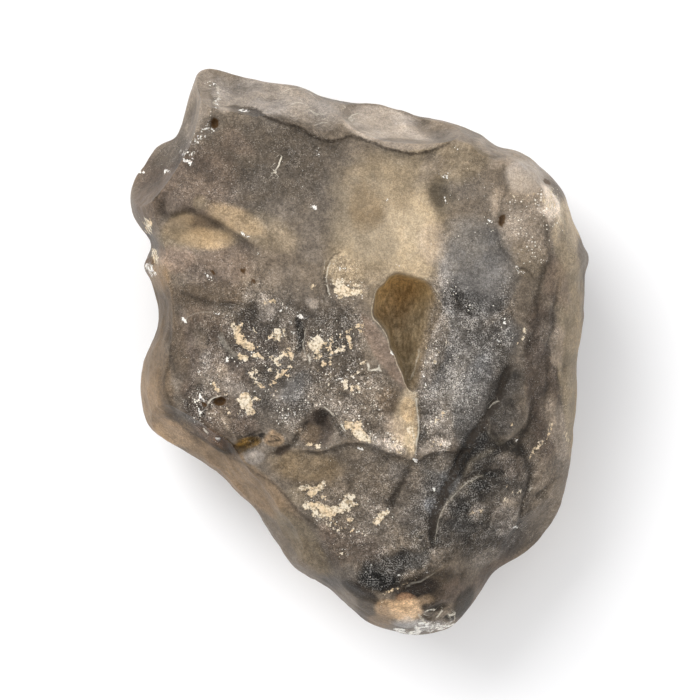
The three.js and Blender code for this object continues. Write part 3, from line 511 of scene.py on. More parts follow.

# The glass is clouded all through, so its colour changes from place to place. A few clouds are painted
# shade or a painted glow instead, and are marked where they stand. Each cloud: its oval, its tint, how
# light it is, its strength, and how ragged its edge is, or how soft it is where the number is below zero
clouds = [
    # brown-grey upper left, with the knob at the left edge
    (-10, 20, 10, 5.5, -12, smoke, 85, 0.8, 1), (-17.5, 18, 5, 4.5, 0, brown, 90, 0.8, 1),
    (-13, 22.6, 2.4, 1.2, -10, brown, 100, 0.5, 1), (-22.6, 17, 2, 4.5, 0, brown, 80, 0.8, 1),
    (-14, 9.3, 6, 2.6, 0, brown, 105, 0.7, 1), (-16, 6.2, 4.5, 1.6, 4, tan, 80, 0.7, 1),
    (-8, 10.5, 4, 4.2, 0, smoke, 110, 0.8, 1),
    # the brow, a band of painted shade under it, and a painted glow below that
    (-9.8, 12.8, 3.6, 1.9, -24, sand, 130, 0.6, -1), (-13.2, 14.1, 3.3, 1.3, -24, straw, 155, 0.7, -1),
    (-17, 15.9, 0.9, 0.8, 0, sand, 130, 0.6, -1), (-19.6, 12.1, 1.9, 1.3, 0, sand, 140, 0.75, -1),
    (-16.6, 12.2, 3.3, 1.2, -4, straw, 180, 0.85, -1), (-16.4, 12.35, 2, 0.7, -4, straw, 185, 0.6, -1),
    (-17.3, 14.05, 3, 0.8, -10, tan, 80, 0.85, -0.7), (-19.4, 13.4, 2, 1.2, 30, straw, 130, 0.6, 0.5),
    # the pale window over the hollow
    (3.4, 14, 6.4, 8, 0, sand, 140, 0.85, 1), (5.6, 12.4, 3, 5, 0, sand, 165, 0.8, 1),
    (0.2, 11.6, 3, 3, 0, sand, 145, 0.7, 1), (0.8, 15.6, 1.9, 2.6, 0, straw, 120, 0.75, 0.8),
    (3.8, 19.2, 3.2, 2.4, 0, sand, 140, 0.7, 1), (8.6, 16.8, 1.2, 2.8, 0, sand, 85, 0.7, 1),
    (7.9, 11.6, 1.7, 2.4, 0, smoke, 175, 0.6, -1), (10.6, 14.4, 1.4, 2.2, 0, smoke, 95, 0.6, -1),
    (9.7, 8.2, 1.3, 2, 0, pearl, 150, 0.6, -1),
    # upper right and its knob
    (10, 20.4, 4.4, 2.4, 0, sand, 125, 0.7, 1), (15.8, 15.6, 1.6, 2.2, -20, smoke, 160, 0.7, 1),
    (18, 16.6, 1.6, 1.8, 0, smoke, 165, 0.6, -1), (8, 20, 1.6, 1.2, 0, smoke, 115, 0.6, 1),
    (17.6, 19.3, 3.2, 2.8, 0, smoke, 135, 0.75, 1), (17.6, 18.7, 2.2, 1.9, 0, pearl, 155, 0.8, -0.4),
    (18.6, 13, 3.4, 4.4, 0, smoke, 135, 0.75, 1), (18, 9.8, 2, 1.6, 0, sand, 105, 0.5, 1),
    (20.3, 16.2, 0.8, 2.3, 20, pearl, 235, 0.75, 1.2), (22.2, 13.2, 1.4, 3, 0, sand, 180, 0.7, 0.7),
    # blue-grey glass right of the hollow
    (12.4, 9.4, 4, 5, 8, grey, 125, 0.8, 1), (12, 5, 3.4, 1.4, 0, grey, 80, 0.6, 0.8),
    (10.4, 0, 4, 7, -10, grey, 95, 0.8, 1), (12.6, -4, 2, 5, -20, ash, 90, 0.7, 0.8),
    (15.6, 1.2, 1.8, 3, 0, grey, 60, 0.7, 0.8), (8.3, -8, 1.9, 3, 0, pearl, 110, 0.8, 0.6),
    (8.1, 0.8, 1, 4, -14, smoke, 115, 0.65, 0.7),
    # left middle: dark glass between crusts
    (-17, 1.4, 2.4, 4, 8, brown, 90, 0.7, 1), (-18.2, -1.8, 0.9, 2.4, 4, brown, 70, 0.6, -0.8),
    (-18.4, -4, 0.8, 0.9, 0, brown, 100, 0.6, -1), (-14.9, 2.6, 1.2, 1.2, 0, brown, 75, 0.5, -1),
    (-17, 2.2, 1, 0.9, 0, smoke, 105, 0.5, -1), (-11.5, 1.2, 3.6, 3.4, -30, brown, 55, 0.75, 1),
    (-9, 3.8, 3, 1.8, 0, smoke, 75, 0.7, 1), (-8.5, -4, 3.4, 3.6, 20, pearl, 70, 0.7, 1),
    (-13.4, -2.2, 2.4, 2, 0, brown, 85, 0.6, 1), (-14.4, -7, 3.4, 3, 20, brown, 75, 0.75, 1),
    (-12, -8, 1.4, 1, 0, brown, 100, 0.6, -1), (-17.2, -6.4, 1.6, 2.6, 0, brown, 60, 0.7, 1),
    (-3, 2, 3.2, 3, 20, smoke, 65, 0.7, 1), (-2.4, -1.6, 3.4, 2.6, 0, smoke, 65, 0.7, 1),
    (-1.2, -6, 4, 2.8, -20, smoke, 100, 0.7, 1), (-4.4, -8, 1.5, 2.2, 0, brown, 75, 0.8, 0.6),
    (-1.3, 8.6, 2.2, 2.2, 0, sand, 190, 0.6, 0.8),
    # smooth beige lip and facet below the hollow
    (2.6, 0, 0.9, 4.6, 32, brown, 115, 0.85, 0.3), (5, -7.4, 1.5, 3.6, -6, sand, 165, 0.85, 0.4),
    # dark lobes beside the big valley
    (15.5, -5.6, 1.9, 4.4, -16, pearl, 55, 0.85, 0.6), (12.6, -10.6, 2.4, 2.2, -40, smoke, 30, 0.85, 0.8),
    (13.2, -17, 4.4, 5.8, -28, smoke, 45, 0.85, 1), (15.4, -13.6, 1.4, 0.7, 30, smoke, 60, 0.5, 1),
    (15.2, -16.6, 1.6, 2.4, -20, smoke, 100, 0.6, 1), (8.2, -14.2, 2, 3.8, -30, grey, 100, 0.8, 1),
    (6, -16.6, 1.6, 3.4, -14, pearl, 80, 0.6, 1), (7.6, -19.6, 2.6, 2, 0, smoke, 35, 0.7, 1),
    (18.6, -16.8, 1.6, 2.6, -24, smoke, 85, 0.7, 0.8), (16.6, -20.4, 3, 1.8, 36, brown, 50, 0.8, 0.8),
    (13.2, -22.4, 2, 1.2, 36, pearl, 100, 0.7, 0.8),
    # bands down the right edge
    (19.6, -3, 1.9, 9, 3, brown, 75, 0.8, 0.25), (18, -9.4, 1.1, 1.8, 0, brown, 50, 0.6, -1),
    (16.6, -12.3, 1.8, 1.3, 0, brown, 65, 0.6, -1), (20.1, 2, 0.8, 1.6, 0, smoke, 105, 0.6, -0.6),
    (22.6, 0, 1.4, 14, 3, sand, 130, 0.85, 0.5), (21.3, 0.5, 0.8, 2.1, 0, smoke, 150, 0.8, 0.3),
    (21.6, -9, 1.1, 3, 6, smoke, 135, 0.7, 0.6), (20.7, -7, 1.1, 2.4, 8, smoke, 135, 0.7, 0.8),
    (21, 7.5, 1.5, 3, 12, brown, 100, 0.6, 0.8),
    # lower basin and bevel
    (1, -14, 6, 3.6, 0, smoke, 100, 0.8, 1), (0, -14, 1.6, 1.6, 0, smoke, 85, 0.5, -1),
    (4.2, -12.8, 1.2, 1.2, 0, pearl, 120, 0.5, -1), (-5.6, -12.6, 4, 2, -10, straw, 105, 0.8, 1),
    (-17.2, -10.2, 2.6, 0.9, -36, tan, 135, 0.7, -0.6), (-6.6, -15.4, 1.3, 0.9, -40, sand, 125, 0.6, -0.8),
    (-1, -20.4, 4, 2.2, -30, brown, 75, 0.7, 1), (3.2, -23, 4.6, 1.7, 22, grey, 25, 0.9, 1),
    (-2.2, -23.8, 2.6, 1.5, -32, pearl, 75, 0.85, 0.8), (-2.6, -22.3, 1.1, 0.8, -32, brown, 65, 0.6, -1),
    (-3.5, -19.4, 1.2, 0.8, -50, brown, 110, 0.5, -1), (0, -25.6, 2, 0.9, -32, brown, 35, 0.85, 0.7),
    # the dark brown cloud on the lower right edge, at x 14.2, is painted shadow
    (14.2, -23.9, 3, 1, 38, brown, 75, 0.8, 0.6), (6.4, -22, 1.4, 1, 20, grey, 80, 0.6, 1),
    (-13.4, -12.9, 8.6, 1.9, -38, tan, 115, 0.9, 0.4), (-22.4, -5, 1.6, 5, 6, tan, 110, 0.85, 0.5),
    (-20.6, -4, 0.9, 4, 6, tan, 85, 0.7, 0.6), (-20, -8.8, 2.4, 1.2, -30, tan, 140, 0.8, 0.4),
    (-6, -20.4, 4.6, 1.4, -52, sand, 105, 0.8, 0.4), (-22.2, 2, 1.3, 5, 0, tan, 90, 0.8, 0.4),
    (-19.5, 0.8, 1.2, 4, 8, tan, 75, 0.7, 0.8), (-21, 4.5, 1.3, 4, 0, tan, 85, 0.7, 0.6),
    (-21.6, 8, 1.2, 1.6, 0, tan, 110, 0.7, 0.6), (-19.8, 10, 1.6, 1.4, 0, brown, 140, 0.7, 0.8),
    # worn tip
    (7.6, -25.2, 4.6, 1.8, 18, tan, 50, 0.9, 0.5), (1, -27.4, 1.6, 1.4, -30, tan, 50, 0.7, 0.6),
    # top bevel and horn
    (-9, 27, 8, 1.9, -12, pearl, 140, 0.9, 0.5), (3.2, 24, 5, 2.1, -14, pearl, 175, 0.85, 0.3),
    (2.6, 24.2, 3, 1.1, -14, pearl, 190, 0.6, 0.6), (9, 23.9, 3.4, 1.2, -16, smoke, 115, 0.8, 0.6),
    # the darker cloud along the lip, at x 4.8, is painted shade
    (14, 22, 1.6, 1, -30, smoke, 155, 0.7, 0.8), (4.8, 22.3, 4, 0.7, -3, smoke, 125, 0.85, 0.3),
    (-17.2, 26.8, 1.5, 4.6, -8, smoke, 120, 0.9, 0.3), (-15.6, 28, 0.3, 2.6, -4, smoke, 95, 0.6, 0.4),
    (-14.6, 27, 0.7, 1.6, 0, pearl, 170, 0.6, 0.8), (-20.2, 21.4, 2.4, 1.3, 40, smoke, 95, 0.8, 0.4),
    (-3.6, 24.6, 1.4, 1, 0, pearl, 125, 0.6, 0.8),
    # near-black along the valley and over the tip: dark glass, and painted shade in the valley
    (12.1, -9.3, 1.1, 1.9, -34, pearl, 35, 0.95, 0.5), (10.7, -12, 0.7, 2.2, -22, smoke, 20, 0.95, 0.4),
    (9.2, -15, 0.45, 1.9, -30, grey, 25, 0.9, 0.4), (15.6, -10.2, 2.7, 0.8, -14, tan, 30, 0.8, 0.8),
    (15.5, -3.1, 0.5, 1.7, -15, smoke, 35, 0.8, 0.4), (7.9, -18.8, 0.5, 2.2, 3, pearl, 25, 0.9, 0.4),
    (12.8, -14.2, 1.3, 0.8, 10, ash, 15, 0.8, 0.8), (14.4, -12.8, 1.4, 0.35, 14, tan, 20, 0.7, 0.6),
    (2, -24.4, 2.6, 1.1, -10, pearl, 15, 0.95, 0.6), (10.6, -16.6, 1.2, 1.4, 0, pearl, 30, 0.7, 0.8),
    (11.2, -19, 1.8, 1, 0, grey, 65, 0.6, 1),
    # paler places on the lobes and beside them
    (12, -15.8, 1.5, 0.9, 30, pearl, 35, 0.6, -1), (12.6, -17.3, 1.3, 0.65, 30, pearl, 110, 0.7, 1),
    (15.7, -15.8, 0.9, 0.6, 20, smoke, 135, 0.6, 1), (17, -15.1, 1.1, 0.5, 25, smoke, 100, 0.6, 1),
    (12.4, -12.2, 0.5, 1.9, -40, pearl, 55, 0.6, 0.5), (15.6, -18.2, 1.8, 1.8, 0, pearl, 115, 0.6, 1),
    (18.9, -13.9, 1.1, 2.6, -12, smoke, 115, 0.7, 0.8), (18.2, -18.4, 0.9, 1.6, -20, smoke, 85, 0.7, 0.6),
    (12.8, -22.4, 1, 0.8, 30, pearl, 130, 0.7, 0.8), (10.6, -23.3, 0.7, 0.6, 0, smoke, 100, 0.7, 0.8),
    (9.4, -13.6, 1, 1.6, -30, ash, 115, 0.7, 0.8), (10.9, -12.3, 0.5, 1.1, -30, tan, 15, 0.8, -0.6),
    (7.6, -16.5, 0.9, 0.9, 0, ash, 135, 0.7, 0.8), (8.4, -12, 1.6, 0.9, 0, smoke, 95, 0.6, 0.8),
    (6.2, -20.4, 0.8, 0.8, 0, pearl, 100, 0.6, 0.8), (6.6, -19.65, 0.3, 0.25, 30, ash, 15, 0.8, 0.4),
    # the lobe and the bands down the right edge
    (17.3, -5.4, 0.8, 1.8, -12, smoke, 95, 0.7, 0.8), (16.2, -7.5, 1, 1.6, -14, pearl, 85, 0.6, 0.8),
    (16.5, 1.9, 1, 1.6, -10, grey, 85, 0.7, 0.8), (21.2, 0.6, 0.9, 1.6, 0, smoke, 125, 0.8, 0.4),
    (22.7, -3, 0.8, 9, 1, sand, 120, 0.7, 0.4), (23, 8, 1, 3, 10, sand, 130, 0.7, 0.6),
    (19.2, -6, 1, 3.5, 4, brown, 60, 0.6, 0.8),
    # milky veils in the left middle, and the darkest glass between them
    (-16.3, -0.9, 0.8, 1.1, 10, pearl, 130, 0.5, 1), (-15.8, -2.4, 0.9, 0.8, 0, smoke, 90, 0.5, -1),
    (-16.8, 1, 0.7, 1.2, 0, smoke, 130, 0.5, 1), (-14.2, -2.3, 0.7, 0.9, 20, smoke, 145, 0.6, 1),
    (-13.2, -3.8, 1.1, 0.9, 0, pearl, 155, 0.5, 1), (-14.3, -7.8, 0.5, 1.6, 28, smoke, 125, 0.6, 1),
    (-16.3, -7, 0.9, 0.5, 0, smoke, 105, 0.6, 1), (-17.4, -6, 1.4, 1.4, 0, brown, 45, 0.7, -1),
    (-9.9, 4.4, 0.9, 1.2, 0, pearl, 140, 0.55, 1), (-5.1, 5.2, 0.6, 0.6, 0, pearl, 180, 0.6, 1),
    (-11.2, 7.4, 1, 0.9, 0, smoke, 135, 0.5, 1), (-11.6, 5.8, 1.2, 0.6, 0, pearl, 120, 0.5, 1),
    (-9, -4.3, 1, 1, 0, pearl, 145, 0.5, 1), (-7.4, -4, 1.3, 1.1, 0, grey, 130, 0.6, 1),
    (-6.7, 1.4, 0.5, 2.2, 0, tan, 20, 0.8, 0.6), (-10.4, -1.6, 1.3, 0.7, 10, smoke, 45, 0.6, 1),
    (-6, -3, 1, 1, 0, grey, 65, 0.5, -1), (-6, -6, 1.2, 1.1, 0, smoke, 60, 0.6, -1),
    # triangular dent, amber notch and the flaked glass beside it
    (-4.3, -6.9, 0.9, 1.1, 0, rust, 30, 0.8, 0.6), (-5.6, -8.8, 1.3, 1, 0, tan, 110, 0.6, 0.8),
    (-11.9, -9.9, 1.5, 0.6, 18, amber, 105, 0.95, 0.4), (-11.5, -9.7, 0.5, 0.4, 40, amber, 65, 0.7, 1),
    (-12.9, -10, 0.35, 0.3, 0, amber, 55, 0.7, 1), (-10.4, -8.9, 0.4, 0.25, 20, rust, 15, 0.9, 0.2),
    (-12.6, -10.6, 0.7, 0.35, 20, amber, 70, 0.9, 0.3),
    (-11.2, -11.3, 1.15, 0.8, 0, pearl, 120, 0.95, 0.25),
    (-11.4, -11.1, 0.5, 0.35, 20, pearl, 150, 0.6, 0.6), (-8, -9.4, 0.45, 0.7, 0, smoke, 100, 0.8, 0.6),
    (-9.1, -9.4, 1.1, 0.8, 0, tan, 125, 0.9, 0.2), (-9.1, -8.6, 0.3, 0.25, 0, tan, 145, 0.8, 0.5),
    (-15.4, -9.4, 3, 0.8, -32, rust, 70, 0.75, -0.6), (-14.8, -9.6, 0.9, 0.5, -30, rust, 110, 0.8, -1),
    (-14.2, -10.4, 1.3, 0.35, -20, amber, 40, 0.75, 0.8), (-8.2, -10.6, 0.9, 0.5, 30, rust, 50, 0.8, 0.5),
    # facet under the hollow
    (5.2, -6.1, 0.9, 1.4, 0, straw, 155, 0.8, 0.4), (5.5, -9.2, 0.8, 2.1, 0, sand, 165, 0.85, 0.5),
    (3.7, -8.4, 1.1, 1.8, 0, smoke, 175, 0.6, 1), (3.2, -5, 1.3, 1.6, -20, tan, 85, 0.7, 0.8),
    # frost along the edge of the middle face
    (2.4, -9.8, 2.4, 0.8, -18, pearl, 160, 0.65, -0.8), (4, -10.3, 1, 0.6, -20, pearl, 175, 0.6, -0.8),
    (7.8, -10, 1.8, 0.8, 8, pearl, 160, 0.65, -0.8),
    # right of the hollow
    (10.5, -4.2, 1.2, 1.6, -10, grey, 120, 0.6, 1), (12.6, 2.2, 1.8, 1.8, 0, pearl, 55, 0.6, 1),
    (10.4, 5.2, 0.8, 2.4, 38, brown, 40, 0.7, 1), (11.6, -7.5, 1.2, 2.2, -10, grey, 95, 0.6, 0.8),
    # worn tip
    (6.2, -25.3, 2.4, 1, 18, rust, 25, 0.9, 0.5), (10, -25.6, 1.8, 1.4, 20, brown, 75, 0.8, 0.8),
    (5, -26.4, 1.3, 0.5, 0, rust, 75, 0.8, 0.6), (2.7, -27.5, 1.3, 1.2, 0, tan, 135, 0.9, 0.3),
    (7.1, -26.5, 0.9, 0.6, 10, tan, 115, 0.7, -1), (5, -27.6, 1.7, 1.45, 0, tan, 180, 0.85, -0.8),
    (4.8, -26.1, 1, 0.5, 0, rust, 110, 0.7, 0.4), (8, -27.2, 1.4, 0.55, 4, tan, 50, 0.95, 0.3),
    (7.3, -28.4, 0.7, 0.35, 0, tan, 60, 0.9, 0.3), (9.6, -28.5, 0.6, 0.35, 0, smoke, 45, 0.9, 0.3),
    (11.2, -27, 1, 2, -30, tan, 25, 0.8, 0.6), (5, -29.5, 1.1, 0.3, -5, tan, 50, 0.9, 0.4),
    (2.2, -29, 1.4, 0.5, -20, tan, 105, 0.7, 0.8), (6.4, -29.3, 3.2, 0.6, -2, grey, 165, 0.7, 1),
]
clear_glass = srgb(112, 102, 90)
cloud_wander = 0.7
shift = drift_of(spread, 3.0, 61, 4)

# What is seen on the front fades out down the flanks, between these two heights
front_low, front_high = 6, 12
front_only = smoothstep(spread[:, 2], front_low, front_high)
tone = np.tile(clear_glass, (len(placed), 1))
for *oval, tint, light, strength, ragged in clouds:
    cover = inside_oval(photo_plan + cloud_wander * max(ragged, 0) * shift, *oval)
    soft = min(1, 0.2 + abs(ragged))
    amount = strength * smoothstep(cover, -0.5 * soft, 0.7 * soft) * front_only
    tone += (srgb(*(light * tint)) - tone) * amount[:, None]

# On the back and low on the flanks the same glass shows, in smoke and beige bands
dark_band, pale_band = srgb(98, 85, 70), srgb(154, 135, 107)
banding = smoothstep(rough_noise(spread * [1, 1, 1.6], 9.0, 91, 4), -0.45, 0.5)
bands = dark_band + (pale_band - dark_band) * banding[:, None]
tone = bands + (tone - bands) * front_only[:, None]

# How the wear looks from place to place: the oval, then how much frost, how strong the mottling and
# how many flecks
wear = [
    (-12, 20, 11, 5.4, 0, 0.44, 0.34, 0.26), (-15.5, 12.4, 5.5, 2.4, -14, 0.1, 0.08, 0.05),
    (3, 14, 6, 7, 0, 0.1, 0.05, 0.06), (15, 13, 6, 8, 0, 0.34, 0.24, 0.38),
    (19.4, 14, 3, 4, 0, 0.4, 0.3, 0.62), (17.6, 18.8, 2.2, 1.8, 0, 0.06, 0.05, 0.1),
    (-15, 8, 6, 4, 0, 0.45, 0.4, 0.24), (-11, 0, 7, 7, 0, 0.75, 0.55, 0.34),
    (-3, 1, 4, 5, 0, 0.75, 0.55, 0.36), (-1.4, 8, 2.6, 2.6, 0, 0.5, 0.4, 0.3),
    (-1, -5, 4.5, 4.5, 0, 0.9, 0.8, 0.6), (-6, -6, 3, 4, 0, 0.8, 0.6, 0.5),
    (-15, -6, 4, 4, 0, 0.7, 0.6, 0.34), (-17, -6.2, 1.4, 2.4, 0, 0.9, 0.8, 0.5),
    (10, 0, 5, 9, 0, 1.05, 0.5, 0.46), (14, 2, 3, 5, 0, 1, 0.6, 0.36),
    (12.8, 9.4, 3.2, 4.4, 0, 0.35, 0.24, 0.26), (8.3, -8, 2, 3, 0, 1.1, 0.7, 0.45),
    (19.5, -4, 3, 12, 0, 0.45, 0.45, 0.24), (22.6, -2, 1.2, 12, 0, 0.15, 0.3, 0.06),
    (21.6, -8, 1.4, 6, 0, 0.4, 0.45, 0.2), (-22, -3, 2.2, 8, 0, 0.12, 0.35, 0.04),
    (-19.6, 0, 1.4, 6, 0, 0.3, 0.5, 0.2), (-11.4, -9.9, 1.8, 0.9, 18, 0.5, 0.9, 0.2),
    (1, -16, 8, 6, 0, 0.6, 0.6, 0.35), (-5, -12.6, 5, 2, -10, 0.3, 0.4, 0.15),
    (8, -16, 3, 5, -24, 0.8, 0.8, 0.25), (14, -16, 5.5, 7, -26, 0.7, 0.8, 0.16),
    (15.6, -5.6, 2, 4, -16, 0.4, 0.5, 0.1), (5, -22, 6, 2.4, 20, 0.85, 0.7, 0.25),
    (1.6, -24.2, 2.6, 1.2, 0, 0.8, 0.8, 0.25), (-11, -15, 9, 2.4, -46, 0.1, 0.3, 0.03),
    (6, -27, 6, 2.6, 0, 0.3, 0.6, 0.12), (-6, 26.4, 12, 2, -12, 0.3, 0.35, 0.14),
    (3.2, 24, 5, 2, -14, 0.15, 0.1, 0.05), (-4.4, -8, 1.7, 2.2, 0, 0.25, 0.4, 0.1),
    (10.8, -11.5, 1.4, 4, -28, 0.6, 0.3, 0.14), (2.4, -9.7, 2.5, 1, -18, 1, 0.8, 0.52),
    (7.8, -9.9, 2, 0.9, 8, 1, 0.8, 0.52),
]
usual_wear = [0.22, 0.4, 0.12]
wear_wander, mottle_size = 0.8, 1.5
three_layers = 1 + 1 / 2 + 1 / 4
mottle = rough_noise(spread, mottle_size, 81) / three_layers
kinds = np.tile(usual_wear, (len(placed), 1))
for row in wear:
    oval, amounts = row[:5], row[5:]
    cover = inside_oval(photo_plan + wear_wander * shift, *oval)
    kinds += (amounts - kinds) * (smoothstep(cover, -0.5, 0.7) * front_only)[:, None]
facing_up = normals_of(spread)[:, 2]
frost, mottled, fleck = kinds.T
mottled = mottled * (0.25 + 0.75 * smoothstep(facing_up, 0.25, 0.75))
frost = np.clip(frost * (1 + 0.5 * mottle), 0, 1.2)
tone *= (1 + (0.02 + 0.38 * mottled) * mottle)[:, None]

# Painted shade darkens the hollows of the skin, where dust settles too, and painted light lifts the ridges,
# which wind keeps clean
blur_rounds, dust_and_cavity_shade, full_cavity_depth = 26, 0.32, 0.12
ends = np.vstack([triangles[:, [0, 1]], triangles[:, [1, 2]], triangles[:, [2, 0]]])
ends = np.vstack([ends, ends[:, ::-1]])
touching = np.bincount(ends[:, 0], minlength=len(spread))
blurred = spread.copy()
for _ in range(blur_rounds):
    for axis in range(3):
        blurred[:, axis] = np.bincount(ends[:, 0], blurred[ends[:, 1], axis], len(spread)) / touching
hollowed = ((blurred - spread) * normals_of(spread)).sum(1)
tone *= (1 - dust_and_cavity_shade * np.clip(hollowed / full_cavity_depth, -0.5, 1))[:, None]

# Thin lines: dirt and painted shade in the creases, given as in the ledges but with the line last
hair_lines = [
    # inner line of the lower left bevel
    (0.14, 0.4, 0.5, 0.6, -20.2, 4.6, -20.3, -1, -20.8, -3, -20.5, -5, -20, -6.5, -19, -8, -17.5, -9.2,
     -15, -10.7, -13, -11.6, -10.9, -13, -8.7, -14.5, -7.5, -15.9, -6.2, -17.6, -4.8, -19, -2.7, -20.1,
     -1.4, -21.6),
    # crumbly line down the left of the horn
    (0.3, 0.3, 0.5, 0.6, -15.9, 25.4, -16.9, 23.6, -18.2, 21.8, -19.1, 20.8, -20.7, 19.5),
    # upper edge of the flaked oval
    (0.12, 0.2, 0.3, 0.5, -5.9, 3.4, -4.6, 4, -3.3, 4.1, -2, 4.1, -0.8, 3.6),
    # left side of the round flake
    (0.1, 0.5, 0.4, 0.35, -2, 11, -2.9, 10.6, -3.6, 9.6, -3.95, 8.1, -3.7, 6.6, -3.3, 5.7),
    (0.2, 0.2, 0.5, 0.4, 11.4, -13.4, 10.8, -12, 11.4, -10.8),
    (0.16, 0.3, 0.5, 0.5, -20.9, 17.4, -20.9, 15.6),
    # crack in the flaked glass beside the notch, and the dirt under it
    (0.1, 0.9, 0.3, 0.3, -10, -9.5, -9.3, -9.7, -8.6, -9.5),
    (0.07, 0.7, 0.2, 0.2, -9.6, -9, -8.9, -9.1, -8.4, -9.6),
    (0.2, 0.7, 0.5, 0.4, -6.9, -7.8, -7, -8.8, -7.5, -10, -8.7, -10.7, -9.8, -11.1),
    (0.1, 0.8, 0.3, 0.3, -13.3, -9.3, -12.2, -9.1, -11.2, -8.8, -10.2, -8.6),
    (0.2, 0.7, 0.5, 0.5, -15.7, -9.5, -14.3, -10.5, -12.6, -11.2),
    # left of the ringed lump
    (0.16, 0.6, 0.5, 0.5, 2.6, -25.5, 3.4, -25, 4.4, -24.4, 5.6, -24.2),
    (0.1, 0.6, 0.3, 0.4, 6.5, -23.9, 7.6, -23.4, 8.6, -22.9, 9.4, -22.7),
    # down the dark band on the right, and the foot of the upper right knob
    (0.1, 0.4, 0.25, 0.5, 21.3, -0.9, 21.4, -3, 21.3, -5, 21, -7.4),
    (0.1, 0.5, 0.3, 0.5, 20.5, 2.6, 20.5, 0.8, 20.7, -0.8),
    (0.12, 0.6, 0.3, 0.5, 16.6, 8.8, 17.6, 8.9, 18.2, 8.4, 19, 7.6),
]
# Bright edges, painted highlights on lit lips and rims and pale chipped and scratched glass: half width,
# amount, and the line
lobe_rim = [8.2, -21, 8.1, -19.6, 8.2, -18.3, 8.5, -17.4, 9, -16.6, 9.7, -15.6, 10.6, -14.7, 11.4, -14.1,
            12.2, -13.7, 13.5, -13.1]
bright_edges = [
    # rim of the big lobe
    (0.06, 0.32, *lobe_rim), (0.26, 0.22, -14.9, 2.4, -14.3, 0.9, -13.4, -0.2, -12.3, -0.9),
    (0.07, 0.45, -5.95, 2.6, -6, 1.6, -5.85, 0.6, -5.5, -0.4),
    (0.07, 0.7, -3.2, 9.9, -3.55, 9, -3.7, 8.1, -3.75, 7.4), (0.08, 0.6, -3.7, 7.4, -3.5, 6.5, -3.2, 5.8),
    (0.08, 0.5, -4, -5.9, -3.3, -6.3, -2.7, -7), (0.08, 0.8, -2.1, -7.6, -1.7, -8.1, -1.3, -8.5),
    (0.09, 0.9, 5.95, -4.6, 6, -6.6, 6, -9, 6, -11), (0.07, 0.4, 6.6, 0.2, 6, -1.7, 5.6, -3.1),
    (0.14, 0.35, -15.2, 28.6, -15.3, 27.3, -15.4, 26.2),
    (0.07, 0.18, -19, 2.9, -18.6, 3.6, -17.5, 4.3, -15.6, 4.5),
    (0.06, 0.16, 4.6, -25.1, 5.6, -24.5, 6.8, -24.1, 8, -23.5),
    (0.08, 0.75, -16.3, -5.8, -15.9, -5.1, -15.5, -4.7, -14.9, -4.6),
    (0.06, 0.4, 15, -4.9, 14.4, -5.4, 13.9, -6),
    # scratches on the bevel
    (0.04, 0.4, -8.4, 27.6, -7.3, 28.1, -5.9, 28.1), (0.04, 0.4, -5.6, 27.9, -4.7, 27.2, -4.3, 26.5),
    (0.04, 0.4, -7.6, 26.4, -6.4, 26.6, -5.2, 26.3), (0.05, 0.4, -5.5, 26, -4.6, 25.4, -3.6, 25.2),
    (0.04, 0.4, -5.2, 24.4, -4.3, 24.7, -3.3, 24.6), (0.05, 0.4, -2, 26.4, -1.5, 26.2, -2, 25.9),
    (0.06, 0.6, -1.2, 25.1, -0.6, 25.5, 0.1, 25.6), (0.05, 0.5, -1, 24.9, -0.4, 25.2),
    # splinters in the chip
    (0.09, 1, 6.9, -27.75, 7.6, -27.85, 8.4, -28.15), (0.06, 0.8, 9.3, -27.9, 8.8, -28.3, 8.3, -28.7),
    (0.09, 1, 9.5, -28.3, 9.8, -28.15, 10.15, -28.1), (0.05, 0.7, 10.3, -27.7, 10.2, -28.4, 10.1, -29.3),
    (0.12, 0.6, 6.1, -27.9, 6.6, -28.5, 7.2, -29.1), (0.08, 1, -8.2, 21, -8.5, 20.1, -8.9, 19.2),
    (0.07, 1, -9.4, 19.05, -9, 19.06, -8.4, 19.1), (0.12, 0.8, -17, -8.2, -16.8, -8.7, -16.4, -9),
    (0.12, 0.9, 1, -0.9, 1.05, -1.7, 1.5, -1.9, 2, -1.85, 2.2, -2.3), (0.08, 0.7, 2, -1.3, 2.05, -1.8),
    (0.1, 0.5, 18.2, -14.9, 18.7, -14.3), (0.1, 0.7, -5.2, 0, -5.1, -0.6, -5, -1.3),
]


def nearest_line(lines):
    """For each point, the signed distance to the nearest line, in half widths, and its strength."""
    far_off, span, least = 9.0, 4.5, 0.7
    fade_start, fade_end = 0.45, 0.65
    value, strong = np.full(len(placed), far_off), np.zeros(len(placed))
    for wide, amount, *line in lines:
        signed, strength = beside_loose(line, max(span * wide, least))
        signed /= wide
        closer = (np.abs(signed) < np.abs(value)) & (strength > 0)
        value[closer] = signed[closer]
        fade = 1 - smoothstep(np.abs(signed) * wide, fade_start, fade_end)
        strong[closer] = (amount * fade * np.sqrt(strength))[closer]
    return value, strong * front_only


crease_dirt_and_shade = [(*dirt_and_shade, *line) for line, *_, dirt_and_shade in ledges + grooves] + hair_lines
crease, crease_dark = nearest_line([(wide, dark, *line) for wide, dark, _, _, *line in crease_dirt_and_shade])
bright, bright_amount = nearest_line(bright_edges)
# Painted shade: the colour darkens beside each crease, as far as its shade spreads
shade = np.zeros(len(placed))
for _, _, dark, soft, *line in crease_dirt_and_shade:
    signed, strength = beside_loose(line, shade_span * soft)
    shade = np.maximum(shade, dark * strength * np.exp(-np.abs(signed) / soft))
tone *= (1 - 0.5 * shade * front_only)[:, None]
